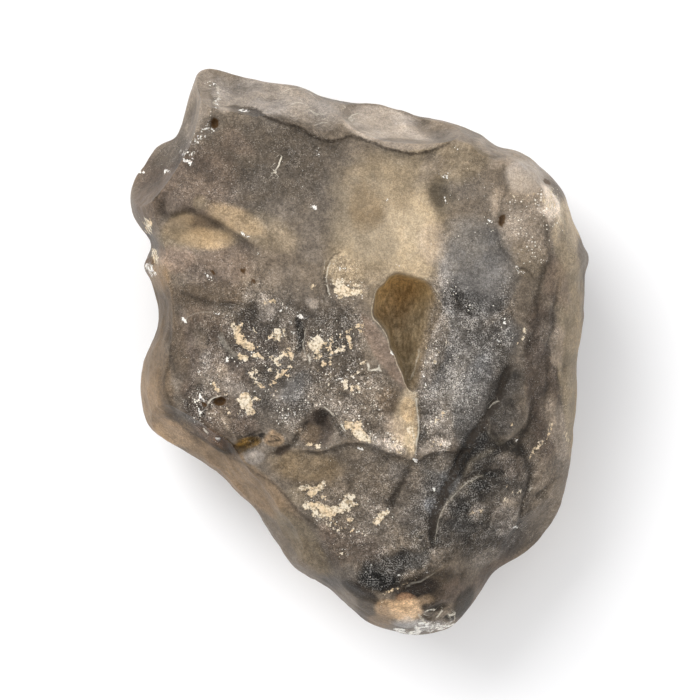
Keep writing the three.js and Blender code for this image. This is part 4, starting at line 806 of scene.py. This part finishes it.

# Painted light: soft light rims round the lobes, as if the thin glass there were lit through: half width,
# amount, and the line
rims = [
    (0.2, 0.4, *lobe_rim), (0.3, 0.45, 11.4, -13.4, 11.6, -12.4, 12.4, -11.3, 13.3, -10.6, 14.2, -10.1),
    (0.18, 0.4, 13.8, -6.4, 13.9, -7.5, 14, -8.6, 14.6, -9.5, 15.4, -9.7, 16.1, -9.1, 17, -7.7),
    (0.16, 0.5, 6.5, -19.2, 6.1, -19.8, 6.1, -20.6, 6.5, -21.1, 7, -20.7),
]
painted_rim_glow = srgb(122, 114, 100)
for wide, amount, *line in rims:
    signed, strength = beside_loose(line, 4 * wide)
    lit = amount * np.sqrt(strength) * np.exp(-(signed / wide) ** 2) * front_only
    tone += (painted_rim_glow - tone) * lit[:, None]

# Inside the hollow the glass is olive brown all over, and it clears to grey up the slope
hollow_edge, hollow_low, hollow_high = srgb(130, 115, 94), srgb(158, 140, 110), srgb(180, 150, 102)
in_hollow = smoothstep(inside, 0, 0.5)
hollow_shade = smoothstep(sunk, 0.15, 2.2)
on_ramp = ramp ** -meeting / shallowest
on_wall = 1 - on_ramp - (sunk / hollow_depth) ** meeting
tone += (hollow_edge - tone) * (0.6 * in_hollow)[:, None]
inner = hollow_low + (hollow_high - hollow_low) * smoothstep(photo_plan[:, 1], 3, 7.5)[:, None]
# Painted light deep in the hollow and on its walls, and painted shade low on the slope that faces the key
# light, so the hollow looks lit through the glass
painted_light_and_shade = 0.3 * on_wall - 0.5 * on_ramp * smoothstep(sunk, 0.6, 2.5) + 0.1 * rough_noise(spread, 0.7, 87)
inner *= (0.85 + 0.65 * sunk / hollow_depth + painted_light_and_shade)[:, None]
tone += (inner - tone) * (0.96 * hollow_shade)[:, None]

# Tan clay baked into hollows of the skin, in strokes: the half width, the amount, which is over 1
# where the clay is solid and below 1 where it is lacy, and the line
crusts = [
    (0.28, 0.95, -13.7, 2.8, -13.1, 2.5, -12.6, 2.9),
    (0.42, 1.05, -13.1, 2.4, -12.9, 1.7, -12.3, 1.2, -11.6, 0.6), (0.3, 0.95, -13, 1.1, -12.3, 0.8),
    (0.28, 1.2, -12.7, -0.4, -12.2, -0.8), (0.2, 1.2, -11.1, -0.4, -10.3, -0.6),
    (0.2, 0.7, -11, 0.6, -10.5, 0.7), (0.32, 1.1, -9.4, 1.6, -8.7, 1.6, -8.8, 2.2),
    (0.14, 0.9, -9.2, 2, -9, 2.5), (0.14, 0.95, -8.1, 2.4, -8.1, 1.9, -7.9, 1.7),
    (0.12, 0.9, -11.3, 2.6, -10.8, 2), (0.3, 1.1, -9.3, -0.5, -8.9, -0.9, -8.7, -1.3),
    (0.2, 1, -8.7, -0.7, -8.2, -0.2), (0.26, 0.9, -7.6, 0.3, -7.3, -0.2, -7.4, -0.7),
    (0.15, 0.8, -8.2, -0.4, -7.6, -0.3), (0.3, 0.95, -11.8, -2.3, -11.3, -2.8, -10.9, -3.3, -10.5, -3.7),
    (0.3, 0.85, -11.2, -1.9, -10.9, -2.4), (0.14, 0.8, -9.5, -1.7, -9.4, -2.2),
    (0.16, 0.95, -7.2, -1.6, -8, -1.9, -7.8, -2.5, -7.5, -2.6),
    (0.18, 0.95, -8.9, -1.9, -8.6, -2.2, -8.8, -2.8, -8.3, -2.5),
    (0.2, 0.8, -9.6, -3.3, -9.2, -3.3, -8.9, -3), (0.3, 0.65, -9.4, -4, -9, -4.6),
    (0.36, 1.15, -12.7, -5.1, -12.2, -4.8, -11.9, -5.4),
    (0.34, 1.25, -12.4, -5.6, -11.8, -5.7, -11.7, -6.5), (0.14, 0.95, -11.5, -5.1, -11, -4.8, -10.6, -5),
    (0.14, 0.9, -10.9, -4.6, -10.9, -5), (0.14, 1.1, -12.9, -6.4, -12.7, -6.4),
    (0.15, 0.8, -14.1, -6.1, -13.8, -6.7), (0.24, 1, -9.6, 5.6, -9.1, 5.5),
    (0.14, 0.9, -10.1, 5.3, -9.8, 5.3), (0.34, 1.3, -5, 0.9, -4.5, 1.4, -4.35, 0.6, -4.9, 0.5),
    (0.14, 1.2, -4.4, 1.8, -4.3, 1.5), (0.14, 0.95, -4, 0.9, -3.4, 0.9),
    (0.18, 0.95, -3.5, 0.4, -3.1, 0.1, -2.9, 0.6), (0.15, 0.9, -3, 0.9, -2.7, 1.7),
    (0.15, 1, -2.6, 0, -2, 0.1, -1.7, 0.6, -1.9, 1), (0.12, 0.9, -2.5, 0.7, -2.3, 0.5),
    (0.12, 0.85, -2.2, 1.8, -2.1, 1.3), (0.12, 0.8, -3.3, 1.6, -3.1, 1.2),
    (0.16, 1, -3.2, -0.3, -3.1, -0.8, -2.9, -1.3), (0.12, 0.8, -2.6, -0.3, -2.3, -0.4),
    (0.17, 0.95, -1.3, 2.1, -1.1, 1.4, -0.9, 0.7, -1.1, 0.5),
    (0.17, 0.95, -1, 2.4, -0.5, 2.7, 0.1, 2.9, 0.4, 2.7), (0.14, 0.9, -0.2, 2.3, 0.3, 2.1),
    (0.24, 0.9, -4.8, -0.2, -4.3, -0.5, -4.6, -0.8), (0.14, 0.7, -4.8, -1.9, -4.4, -2),
    (0.2, 1.2, -3.95, -1.1, -3.75, -1.4), (0.13, 0.75, -3.35, -2, -3.2, -2.6, -3.2, -3.5),
    (0.42, 1.25, -2.4, 7.3, -1.9, 7.2, -1.8, 6.4), (0.34, 1.2, -2.4, 6.3, -1.2, 6.3, -0.1, 6.4),
    (0.2, 1, -2.3, 5.8, -2, 5.7), (0.2, 0.9, -0.9, 7, -0.2, 7.1), (0.12, 0.8, -3, 7.8, -2.7, 7.4),
    (0.12, 0.9, -5.2, 6.6, -4.9, 7.3), (0.17, 1.25, -1.55, -3.1, -1.45, -3.8),
    (0.14, 1, -0.9, -3.6, -0.8, -4.2), (0.16, 0.9, -0.6, -3.5, -0.2, -3.5, -0.2, -4.1),
    (0.12, 1, -0.9, -2.7, -0.7, -2.7), (0.14, 1, -0.5, -2.4, -0.1, -2.1), (0.12, 0.85, 0.2, -1.2, 0.7, -1),
    (0.4, 1.15, -1.2, -7.7, -0.6, -7.9, -0.1, -8.6, 0.4, -9.1, 0.9, -9.3), (0.24, 1, -0.3, -7.5, 0, -7.6),
    (0.3, 0.7, 1, -9.1, 1.6, -9.7), (0.42, 0.85, 5.4, -8.2, 5.6, -9.2, 5.5, -10.6),
    (0.5, 0.6, 3.4, -9.6, 4.6, -10.6), (0.14, 1.1, -5.6, -9.85, -5.2, -9.9),
    (0.16, 1.1, -4.8, -10.1, -4.3, -10), (0.25, 0.7, 8, -7.6, 9.4, -6.2), (0.4, 0.6, 7.4, -9.6, 9, -10.2),
    (0.28, 1.05, -6.1, -14.6, -5.7, -14.4, -5.3, -14.6),
    (0.3, 1.1, -5.3, -15.1, -4.8, -14.9, -4.3, -14.5, -4, -14.1), (0.16, 0.95, -3.9, -15.5, -3.5, -15.5),
    (0.4, 1.15, -5.6, -16.4, -4.8, -16.4, -4.2, -16.3), (0.42, 1.1, -4.8, -17.2, -3.9, -17.4, -3, -17.3),
    (0.48, 1.15, -3.8, -16.7, -2.9, -16.9, -2, -16.8, -1.3, -16.7),
    (0.26, 1, -1.7, -16.1, -1.3, -15.5, -0.8, -15.2), (0.34, 1.05, -0.9, -16.1, -0.5, -16.3),
    (0.28, 0.95, -1.2, -17.8, -0.7, -18.1), (0.5, 0.75, -3.6, -18.1, -2.6, -18.6, -1.9, -19.2),
    (0.32, 1.15, 1.8, -18.1, 2.3, -17.6, 2.8, -17.1), (0.16, 0.9, -0.9, -19.2, -0.7, -18.9),
    (0.14, 0.9, 0.4, -19.2, 0.7, -19.5), (0.5, 0.8, 20.3, 15.4, 20.8, 16.4),
    (0.24, 0.75, 17.4, 16.6, 18.2, 16.9, 19, 16.6), (0.16, 0.75, 16.2, 16.7, 16.6, 16.4),
    (0.12, 1.1, 17.4, 2.5, 17.6, 2.1), (0.11, 1, 17.4, 1.7, 17.35, 1.4), (0.13, 1.2, 16.9, 0.9, 17.2, 0.9),
    (0.2, 0.8, 20.6, -7.6, 20.3, -8.3), (0.18, 0.75, 20.3, -8.8, 20.1, -9.4),
    (0.2, 0.8, 19.5, -9.6, 18.7, -10.6, 18.4, -11.3), (0.3, 0.75, 22.2, -8.9, 22.2, -9.6),
    (0.17, 0.75, 15.3, -16, 15.6, -15.7, 15.6, -16.3), (0.12, 0.9, 15.7, -14.6, 15.8, -14.3),
    (0.24, 0.62, 16.4, -15.2, 17.2, -14.9), (0.12, 0.75, 15.4, -17, 15.1, -17.4),
    (0.4, 0.6, 12, -17.5, 12.9, -17.1), (0.12, 1, 16.3, -7.7, 16.5, -7.7),
    (0.22, 0.8, 2.6, -25.9, 3.2, -25.6, 3.9, -25.3), (0.16, 0.8, 4.2, -25.1, 4.5, -24.9),
    (0.14, 0.8, 4.9, -24.6, 5.2, -24.4), (0.12, 0.7, 5.9, -24.2, 6.2, -24.1),
    (0.25, 0.6, 1.9, -27.2, 2.7, -26.8), (0.36, 1, -22.8, 14, -22.6, 13), (0.34, 1, -22, 10.8, -22, 9.8),
    (0.15, 1, -15.6, -3.4, -15.25, -3.9), (0.12, 0.6, -14.8, -4.3, -14.4, -4.5),
    (0.2, 0.7, 7.6, 12, 7.2, 10.6), (0.2, 0.75, 9.3, 1.3, 9.6, 0.7), (0.16, 0.75, 6.9, 1.2, 7.3, 0.2),
    (0.14, 0.8, 7.8, -0.6, 8, -1.1), (0.14, 0.9, 6.6, -1.8, 6.9, -1.5), (0.14, 0.75, 8.3, 0.4, 8.4, 0.1),
    (0.2, 0.75, 8, 5.6, 8.4, 5.2), (0.26, 0.85, -2.1, -21.3, -1.5, -21.6), (0.3, 0.8, 19.6, 16.6, 20, 15.9),
    (0.3, 0.75, 20.4, 17.4, 20.6, 16.8), (0.14, 0.8, 17.5, 16.3, 18.2, 16.6, 18.6, 17),
    (0.12, 0.8, 16.3, 16.2, 16.8, 16.1),
]

# White crumbs of salt and crushed glass, given the same way
crumbs = [
    (0.32, 0.76, -19, 21.2, -18.3, 21.4, -17.8, 20.7), (0.28, 0.76, -18.7, 20.5, -18.1, 20.2),
    (0.35, 0.7, -17.9, 22.3, -17, 23, -16.5, 23.6, -16.1, 24.6, -15.9, 25.3),
    (0.12, 0.9, -16.9, -4.7, -16.8, -5.1), (0.14, 0.6, -17.1, -7, -17.5, -7.6),
    (0.13, 0.55, -17.9, -5.2, -17.7, -5.9), (0.16, 0.72, -15.3, 28.7, -15.2, 27.4, -15.35, 26.2),
    (0.2, 0.75, -16.1, 23.7, -15.5, 23.8), (0.2, 0.9, -20.8, 19.6, -20.6, 19.3),
    (0.2, 0.9, -23.6, 19.5, -23.2, 19.3), (0.2, 1, -5.1, 15.6, -4.8, 15.4),
    (0.1, 0.9, -4.4, 21.6, -4.3, 20.8), (0.2, 0.85, 9.1, 18.9, 9.4, 18.7), (0.15, 0.95, 9.2, 16.4, 9.2, 16),
    (0.18, 0.9, 10.2, 21.9, 10.5, 21.7), (0.18, 0.95, -18.9, 3.7, -18.6, 3.3),
    (0.12, 0.9, -15.4, 4.2, -14.9, 4.2), (0.1, 0.9, -12.8, 25.9, -12, 25.8),
    (0.16, 0.7, 2.6, 16.2, 3, 15.9), (0.15, 0.7, -0.6, 11.8, -0.3, 11.2), (0.12, 0.7, -1.2, 16, -0.9, 15.7),
    (0.12, 0.7, 4, 9.3, 4.4, 9.1), (0.24, 0.95, 5.9, -11.7, 6, -11.6), (0.14, 0.8, 14.6, 1.3, 15, 1),
    (0.24, 0.9, 15.3, 3.5, 15.4, 3.1), (0.14, 0.8, 14.2, 5.1, 14.4, 4.9),
    (0.2, 0.85, -3, -11.7, -2.8, -11.5), (0.42, 0.85, 6.2, -29.5, 7.2, -29.2),
    (0.42, 0.8, 7.4, -29.8, 8.4, -29.3), (0.36, 0.85, 8.7, -29.6, 9.7, -29.2),
    (0.16, 1.2, 10, -29.4, 10.1, -29.5), (0.3, 1, 4, -29.9, 4.8, -30.1), (0.3, 1, 5.6, -30.3, 6.4, -30.2),
    (0.12, 1.1, -17, -4.7, -17, -5), (0.13, 1.1, -17, -1.8, -17, -2),
    (0.12, 0.95, -17.2, -6.1, -17.1, -6.6), (0.13, 1, -14, -0.7, -14, -0.9),
    (0.14, 0.85, -15.1, -9.2, -15.2, -9.4), (0.17, 0.8, -11.5, -4.2, -11.2, -4.1),
    (0.16, 0.8, -16.3, 8.4, -15.8, 7.9), (0.3, 0.55, -2.9, 9.7, -1.6, 8.9),
    (0.25, 0.7, -12.7, 12.7, -12, 12.4), (0.2, 0.7, -10.9, 10.8, -10.6, 10.3),
    (0.5, 0.85, -22.7, 9.3, -22.3, 8.6), (0.25, 0.6, -16.4, 28.9, -15.8, 28.6),
    (0.2, 0.8, -0.2, -10.3, 0.3, -10.4), (0.14, 0.85, 13.9, 14.1, 13.7, 13.5),
    (0.28, 0.7, 16.9, 8.9, 17.6, 8.2), (0.12, 0.75, 9.8, 6.9, 10.3, 6.4), (0.18, 0.8, 11.2, 4.8, 11.8, 4.4),
    (0.13, 1.1, 3.3, 0.05, 3.45, -0.15), (0.13, 1.1, -8.5, 4.6, -8.3, 4.5),
    (0.15, 1.1, -7.8, 4.7, -7.6, 4.8), (0.12, 1, -7.4, 4.3, -7.3, 4.2), (0.15, 0.9, -6.7, 4.1, -6.5, 3.8),
    (0.13, 0.9, -6, 3.8, -5.7, 3.8), (0.13, 0.85, -7.4, 3.3, -7.2, 3.1), (0.14, 0.8, -7.3, 2.4, -6.9, 1.9),
    (0.12, 1.1, -1.5, -2.5, -1.5, -2.6), (0.11, 1, -2.1, -2.8, -2, -2.8), (0.11, 1, 16.7, -9.4, 16.8, -9.6),
    (0.11, 1.1, 7.95, -14.7, 8, -14.8), (0.15, 0.9, 7.8, -15.2, 7.9, -15.4),
    (0.12, 1.1, 7.1, -23.7, 7.15, -23.8), (0.11, 0.9, 4.1, -23.8, 4.2, -23.8),
    (0.12, 0.8, 0.7, -23.5, 0.8, -23.6), (0.16, 0.8, 1.1, -22.6, 1.3, -22.8),
    (0.12, 0.9, 16.6, -18.9, 16.9, -18.9), (0.11, 0.9, -8.3, -6.9, -8.2, -7),
    (0.11, 0.9, -7.7, -6.8, -7.5, -6.7), (0.11, 0.95, -7.1, -6.4, -7, -6.6),
    (0.11, 0.9, -8.8, -7.7, -8.7, -7.8), (0.12, 0.9, 6.9, -2.5, 7.1, -2.8), (0.12, 0.9, 7, -3.4, 7.1, -3.6),
    (0.12, 0.8, 6.9, -4.8, 7, -5),
]
ragged_plan = photo_plan + 0.2 * drift_of(spread, 0.7, 101, 2)
on_top = front_only * smoothstep(facing_up, -0.05, 0.15)

# Beyond a stroke's own width come a lacy halo and, further out, stray flecks
halo_reach, halo_amount, stray_reach = 0.8, 0.36, 1.2


def strokes(lines):
    """How much of a stroke lies at each point, and how much of it is scattered around."""
    field, around = np.zeros(len(placed)), np.zeros(len(placed))
    for wide, amount, *line in lines:
        signed, _ = beside(ragged_plan, smooth_line(line, 4), 2.6 * wide + stray_reach)
        far = np.abs(signed)
        field = np.maximum(field, amount * (1 - smoothstep(far, 0.6 * wide, 1.7 * wide + 0.06)))
        field = np.maximum(field, halo_amount * (1 - smoothstep(far, wide, wide + halo_reach)))
        around = np.maximum(around, amount * (1 - smoothstep(far, wide, wide + stray_reach)))
    return field * on_top, around * on_top


crust, around_crust = strokes(crusts)
crumb, around_crumb = strokes(crumbs)
fleck = np.clip(fleck * (1 + 0.6 * mottle) + 0.22 * np.maximum(around_crust, around_crumb), 0, 1)
frost *= (1 - 0.7 * hollow_shade) * (1 - 0.45 * in_hollow)
fleck *= (1 - 0.9 * hollow_shade) * (1 - 0.4 * in_hollow)
# The rim of the hollow gets a painted highlight away from the slope, fading out near the top
rim_light = smoothstep(up_ramp, 0.2, 0.9) * smoothstep(8 - photo_plan[:, 1], 0, 2.5) * front_only

# The values are kept on the mesh, where the glass reads them
painted = stone_mesh.attributes.new("tone", "FLOAT_COLOR", "POINT")
painted.data.foreach_set("color", np.insert(np.clip(tone, 0, 1), 3, 1, axis=1).astype(np.float32).ravel())
for name, values in {
    "crust": crust, "crumb": crumb, "frost": frost, "fleck": fleck, "mottled": mottled, "pit": pitted,
    "crease": crease, "crease_dark": crease_dark, "bright": bright, "bright_amount": bright_amount,
    "rim": np.clip(inside, -1, 1), "rim_light": rim_light, "hollow": in_hollow,
}.items():
    kept = stone_mesh.attributes.new(name, "FLOAT", "POINT")
    kept.data.foreach_set("value", values.astype(np.float32))

glass = bpy.data.materials.new("frosted_desert_glass")
glass.use_nodes = True
nodes, links = glass.node_tree.nodes, glass.node_tree.links
skin = nodes["Principled BSDF"]
for name, number in {
    "IOR": 1.46, "Specular IOR Level": 0.12, "Subsurface Weight": 0.2,
    "Subsurface Radius": (1.0, 0.8, 0.55), "Subsurface Scale": 0.0015,
}.items():
    skin.inputs[name].default_value = number


def fed(socket, value):
    """Gives a socket a colour, a number or another node's output."""
    if isinstance(value, bpy.types.NodeSocket):
        links.new(value, socket)
    elif isinstance(value, (int, float)):
        socket.default_value = value
    else:
        socket.default_value = (*value, 1.0)


def attribute(name, output="Fac"):
    made = nodes.new("ShaderNodeAttribute")
    made.attribute_name = name
    return made.outputs[output]


coordinates = nodes.new("ShaderNodeTexCoord").outputs["Object"]


def grain(per_metre, detail, roughness, where=coordinates):
    made = nodes.new("ShaderNodeTexNoise")
    sockets = ("Vector", "Scale", "Detail", "Roughness")
    for name, value in zip(sockets, (where, per_metre, detail, roughness)):
        fed(made.inputs[name], value)
    return made.outputs["Fac"]


def reckoned(how, a, b=0.0):
    made = nodes.new("ShaderNodeMath")
    made.operation = how
    fed(made.inputs[0], a)
    fed(made.inputs[1], b)
    return made.outputs[0]


def plus(a, b):
    return reckoned("ADD", a, b)


def times(a, b):
    return reckoned("MULTIPLY", a, b)


def ramp_between(value, low, high, to_low=0.0, to_high=1.0):
    made = nodes.new("ShaderNodeMapRange")
    made.interpolation_type = "SMOOTHSTEP"
    sockets = ("Value", "From Min", "From Max", "To Min", "To Max")
    for name, number in zip(sockets, (value, low, high, to_low, to_high)):
        fed(made.inputs[name], number)
    return made.outputs["Result"]


def near_zero(value, full, gone):
    """1 where the value is close to zero on either side, 0 further off."""
    return ramp_between(reckoned("ABSOLUTE", value), full, gone, 1.0, 0.0)


def mix(amount, a, b, how="MIX"):
    made = nodes.new("ShaderNodeMix")
    made.data_type = "RGBA"
    made.blend_type = how
    sockets = [s for s in made.inputs if s.enabled]
    for socket, value in zip(sockets, (amount, a, b)):
        fed(socket, value)
    return next(s for s in made.outputs if s.enabled)


def tinted(colour, by):
    return mix(1.0, colour, by, "MULTIPLY")


# The patterns in the skin: lumps to the metre, detail, and how rough the detail is
pattern = {name: grain(*numbers) for name, numbers in {
    "drift": (190, 3, 0.6), "clay_patch": (420, 3, 0.6), "mottle": (700, 4, 0.7), "crack": (850, 3, 0.6),
    "clump": (1100, 3, 0.6), "swell": (1500, 5, 0.6), "lace": (1900, 3, 0.6), "waver": (2200, 2, 0.6),
    "pore": (2700, 3, 0.65), "speckle": (2800, 2, 0.6), "gap": (3100, 2, 0.6),
    "clay_grain": (3600, 3, 0.6), "fine_lace": (4400, 3, 0.72), "fine": (6500, 2, 0.7),
    "frost": (7600, 1, 0.7), "speck_edge": (9000, 0, 0.6),
}.items()}


def specks(per_metre, density, widest):
    """Scattered specks of many sizes: the density, 0 to 1, sets how many of the cells hold one."""
    made = nodes.new("ShaderNodeTexVoronoi")
    fed(made.inputs["Vector"], coordinates)
    fed(made.inputs["Scale"], per_metre)
    split = nodes.new("ShaderNodeSeparateColor")
    fed(split.inputs[0], made.outputs["Color"])
    luck = plus(plus(split.outputs[0], density), -1.0)
    reach = reckoned("SUBTRACT", times(reckoned("MAXIMUM", luck), widest), made.outputs["Distance"])
    return ramp_between(plus(reach, times(plus(pattern["speck_edge"], -0.5), 0.12)), 0.0, 0.03)


# Noise stays near a half, so a pattern is cut at two levels close to it. The colour is built from
# the bottom up: first the clouded glass, with drifts of warm and cool, mottles and a fine grain,
# which are stronger where the skin is worn more
frost_amount, fleck_amount, mottling = attribute("frost"), attribute("fleck"), attribute("mottled")
worn = ramp_between(frost_amount, 0, 0.9)
cool, warm = (0.985, 0.99, 1.02), (1.03, 0.998, 0.965)
drifts = mix(ramp_between(pattern["drift"], 0.38, 0.62), cool, warm)
mottle_low = mix(mottling, (0.97, 0.97, 0.97), (0.52, 0.51, 0.5))
mottle_high = mix(mottling, (1.03, 1.03, 1.03), (1.45, 1.45, 1.45))
speckle_low = mix(worn, (0.9, 0.9, 0.9), (0.78, 0.77, 0.76))
speckle_high = mix(worn, (1.1, 1.1, 1.1), (1.2, 1.2, 1.2))
clouded = tinted(attribute("tone", "Color"), drifts)
clouded = tinted(clouded, mix(ramp_between(pattern["mottle"], 0.34, 0.66), mottle_low, mottle_high))
clouded = tinted(clouded, mix(ramp_between(pattern["speckle"], 0.34, 0.66), speckle_low, speckle_high))
dark_glass = tinted(clouded, mix(worn, (0.72, 0.715, 0.71), (0.55, 0.545, 0.54)))
colour = mix(ramp_between(pattern["fine"], 0.38, 0.62), dark_glass, clouded)

# Then fine cracks and pores, and the frost, in clumps
cracks = times(near_zero(plus(pattern["crack"], -0.5), 0.004, 0.022), worn)
colour = mix(times(cracks, 0.4), colour, tinted(clouded, (0.3, 0.28, 0.26)))
pores = times(ramp_between(pattern["pore"], 0.42, 0.34), worn)
colour = mix(times(pores, 0.7), colour, tinted(clouded, (0.25, 0.24, 0.23)))
frost_mask = ramp_between(plus(pattern["frost"], times(frost_amount, 0.12)), 0.58, 0.74)
frost_mask = times(frost_mask, ramp_between(pattern["clump"], 0.38, 0.6, 0.2, 1.15))
frost_colour = mix(0.24, tinted(clouded, (2.15, 2.15, 2.15)), srgb(226, 222, 216))
colour = mix(times(frost_mask, ramp_between(frost_amount, 0, 1, 0.12, 0.9)), colour, frost_colour)

# Dirt and painted shade in the creases, painted highlights and pale chipped glass on the bright edges, and
# a painted highlight on the rim of the hollow: wavering lines with gaps in them
waver = times(plus(pattern["waver"], -0.5), 3.0)
broken = ramp_between(pattern["gap"], 0.4, 0.56)
crease_mask = times(near_zero(plus(attribute("crease"), waver), 0.4, 1.7), attribute("crease_dark"))
crease_mask = times(crease_mask, ramp_between(broken, 0, 1, 0.6, 1.0))
colour = mix(crease_mask, colour, srgb(44, 37, 30))
bright_mask = times(near_zero(plus(attribute("bright"), waver), 0.5, 1.5), attribute("bright_amount"))
bright_mask = times(bright_mask, ramp_between(broken, 0, 1, 0.45, 1.0))
colour = mix(bright_mask, colour, srgb(206, 198, 182))
rim_shift = 0.04
rim_mask = times(near_zero(plus(attribute("rim"), rim_shift), 0.02, 0.09), attribute("rim_light"))
rim_mask = times(rim_mask, ramp_between(broken, 0, 1, 0.4, 1.0))
colour = mix(times(rim_mask, 0.6), colour, srgb(214, 200, 174))

# Dark streaks down the walls of the hollow
stretched = nodes.new("ShaderNodeVectorMath")
stretched.operation = "MULTIPLY"
fed(stretched.inputs[0], coordinates)
stretched.inputs[1].default_value = (1.0, 0.35, 0.35)
streaks = ramp_between(grain(3400, 3, 0.5, stretched.outputs["Vector"]), 0.36, 0.6, 1.0, 0.0)
colour = mix(times(times(streaks, attribute("hollow")), 0.42), colour, srgb(58, 44, 24))

# On top of it all flecks, clay, crumbs and the brown of the pits
fleck_mask = reckoned("MAXIMUM", specks(1700, fleck_amount, 0.34), specks(3300, fleck_amount, 0.5))
colour = mix(times(fleck_mask, 0.85), colour, srgb(232, 225, 212))
lace = plus(times(pattern["lace"], 0.5), times(pattern["fine_lace"], 0.5))
crust_mask = ramp_between(plus(lace, times(attribute("crust"), 0.29)), 0.725, 0.765)
clay = mix(ramp_between(pattern["clay_patch"], 0.38, 0.58), srgb(221, 197, 163), srgb(226, 213, 191))
clay = mix(ramp_between(pattern["clay_grain"], 0.36, 0.56), srgb(158, 140, 114), clay)
colour = mix(times(crust_mask, 0.92), colour, clay)
crumb_mask = ramp_between(plus(lace, times(attribute("crumb"), 0.3)), 0.735, 0.77)
colour = mix(times(crumb_mask, 0.9), colour, srgb(236, 232, 224))
colour = mix(times(ramp_between(attribute("pit"), 0.05, 0.5), 0.85), colour, srgb(72, 49, 22))

# Clay and crumbs are rougher and stand up a little, and creases sink
raised = reckoned("MAXIMUM", crust_mask, crumb_mask)
height = plus(times(pattern["swell"], 0.6), times(frost_mask, 0.1))
height = plus(plus(height, times(raised, 0.35)), times(crease_mask, -0.4))
bump = nodes.new("ShaderNodeBump")
fed(bump.inputs["Strength"], 0.6)
fed(bump.inputs["Distance"], 0.00015)
fed(bump.inputs["Height"], height)
fed(skin.inputs["Base Color"], colour)
fed(skin.inputs["Roughness"], plus(ramp_between(pattern["fine"], 0.3, 0.7, 0.42, 0.6), times(raised, 0.3)))
fed(skin.inputs["Normal"], bump.outputs["Normal"])
stone_mesh.materials.append(glass)
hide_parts("desert_glass")
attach(stone_piece, "root")

# The floor
# A plain pale sheet, which isn't part of the stone.
floor_reach = 3
floor_mesh = bpy.data.meshes.new("floor")
corners = [(floor_reach * x, floor_reach * y, 0) for x, y in ((-1, -1), (1, -1), (1, 1), (-1, 1))]
floor_mesh.from_pydata(corners, [], [(0, 1, 2, 3)])
floor = bpy.data.objects.new("floor", floor_mesh)
bpy.context.scene.collection.objects.link(floor)
paper = bpy.data.materials.new("pale_floor")
paper.use_nodes = True
paper_skin = paper.node_tree.nodes["Principled BSDF"]
paper_skin.inputs["Base Color"].default_value = (0.93, 0.93, 0.94, 1)
paper_skin.inputs["Roughness"].default_value = 0.8
floor_mesh.materials.append(paper)

# Studio light
# One big soft light high on the left, a weaker one on the right, and a bright room.
for name, place, side, power in (
    ("key", (-0.4, 0.42, 0.55), 0.6, 5.8),
    ("fill", (0.6, -0.3, 0.5), 0.6, 1.6),
):
    lamp = bpy.data.lights.new(name, "AREA")
    lamp.size, lamp.energy = side, power
    light = bpy.data.objects.new(name, lamp)
    light.location = place
    light.rotation_euler = Vector(place).to_track_quat("Z", "Y").to_euler()
    bpy.context.scene.collection.objects.link(light)
room = bpy.data.worlds.new("room")
room.use_nodes = True
room.node_tree.nodes["Background"].inputs["Color"].default_value = (1.0, 1.0, 1.0, 1)
room.node_tree.nodes["Background"].inputs["Strength"].default_value = 0.8
bpy.context.scene.world = room
bpy.context.scene.view_settings.view_transform = "Standard"

# The camera
# It looks straight down on the front face from far off, as the photograph does.
away, field_width = 1500, 75.27
photo_middle = (-0.00102, 0.000215)
camera = bpy.data.cameras.new("camera")
camera.sensor_width = 36
camera.lens = camera.sensor_width * away / field_width
camera.clip_end = 10
eye = bpy.data.objects.new("camera", camera)
eye.location = (*photo_middle, (away + front_crown) / 1000)
bpy.context.scene.collection.objects.link(eye)
bpy.context.scene.camera = eye

bpy.context.view_layer.update()
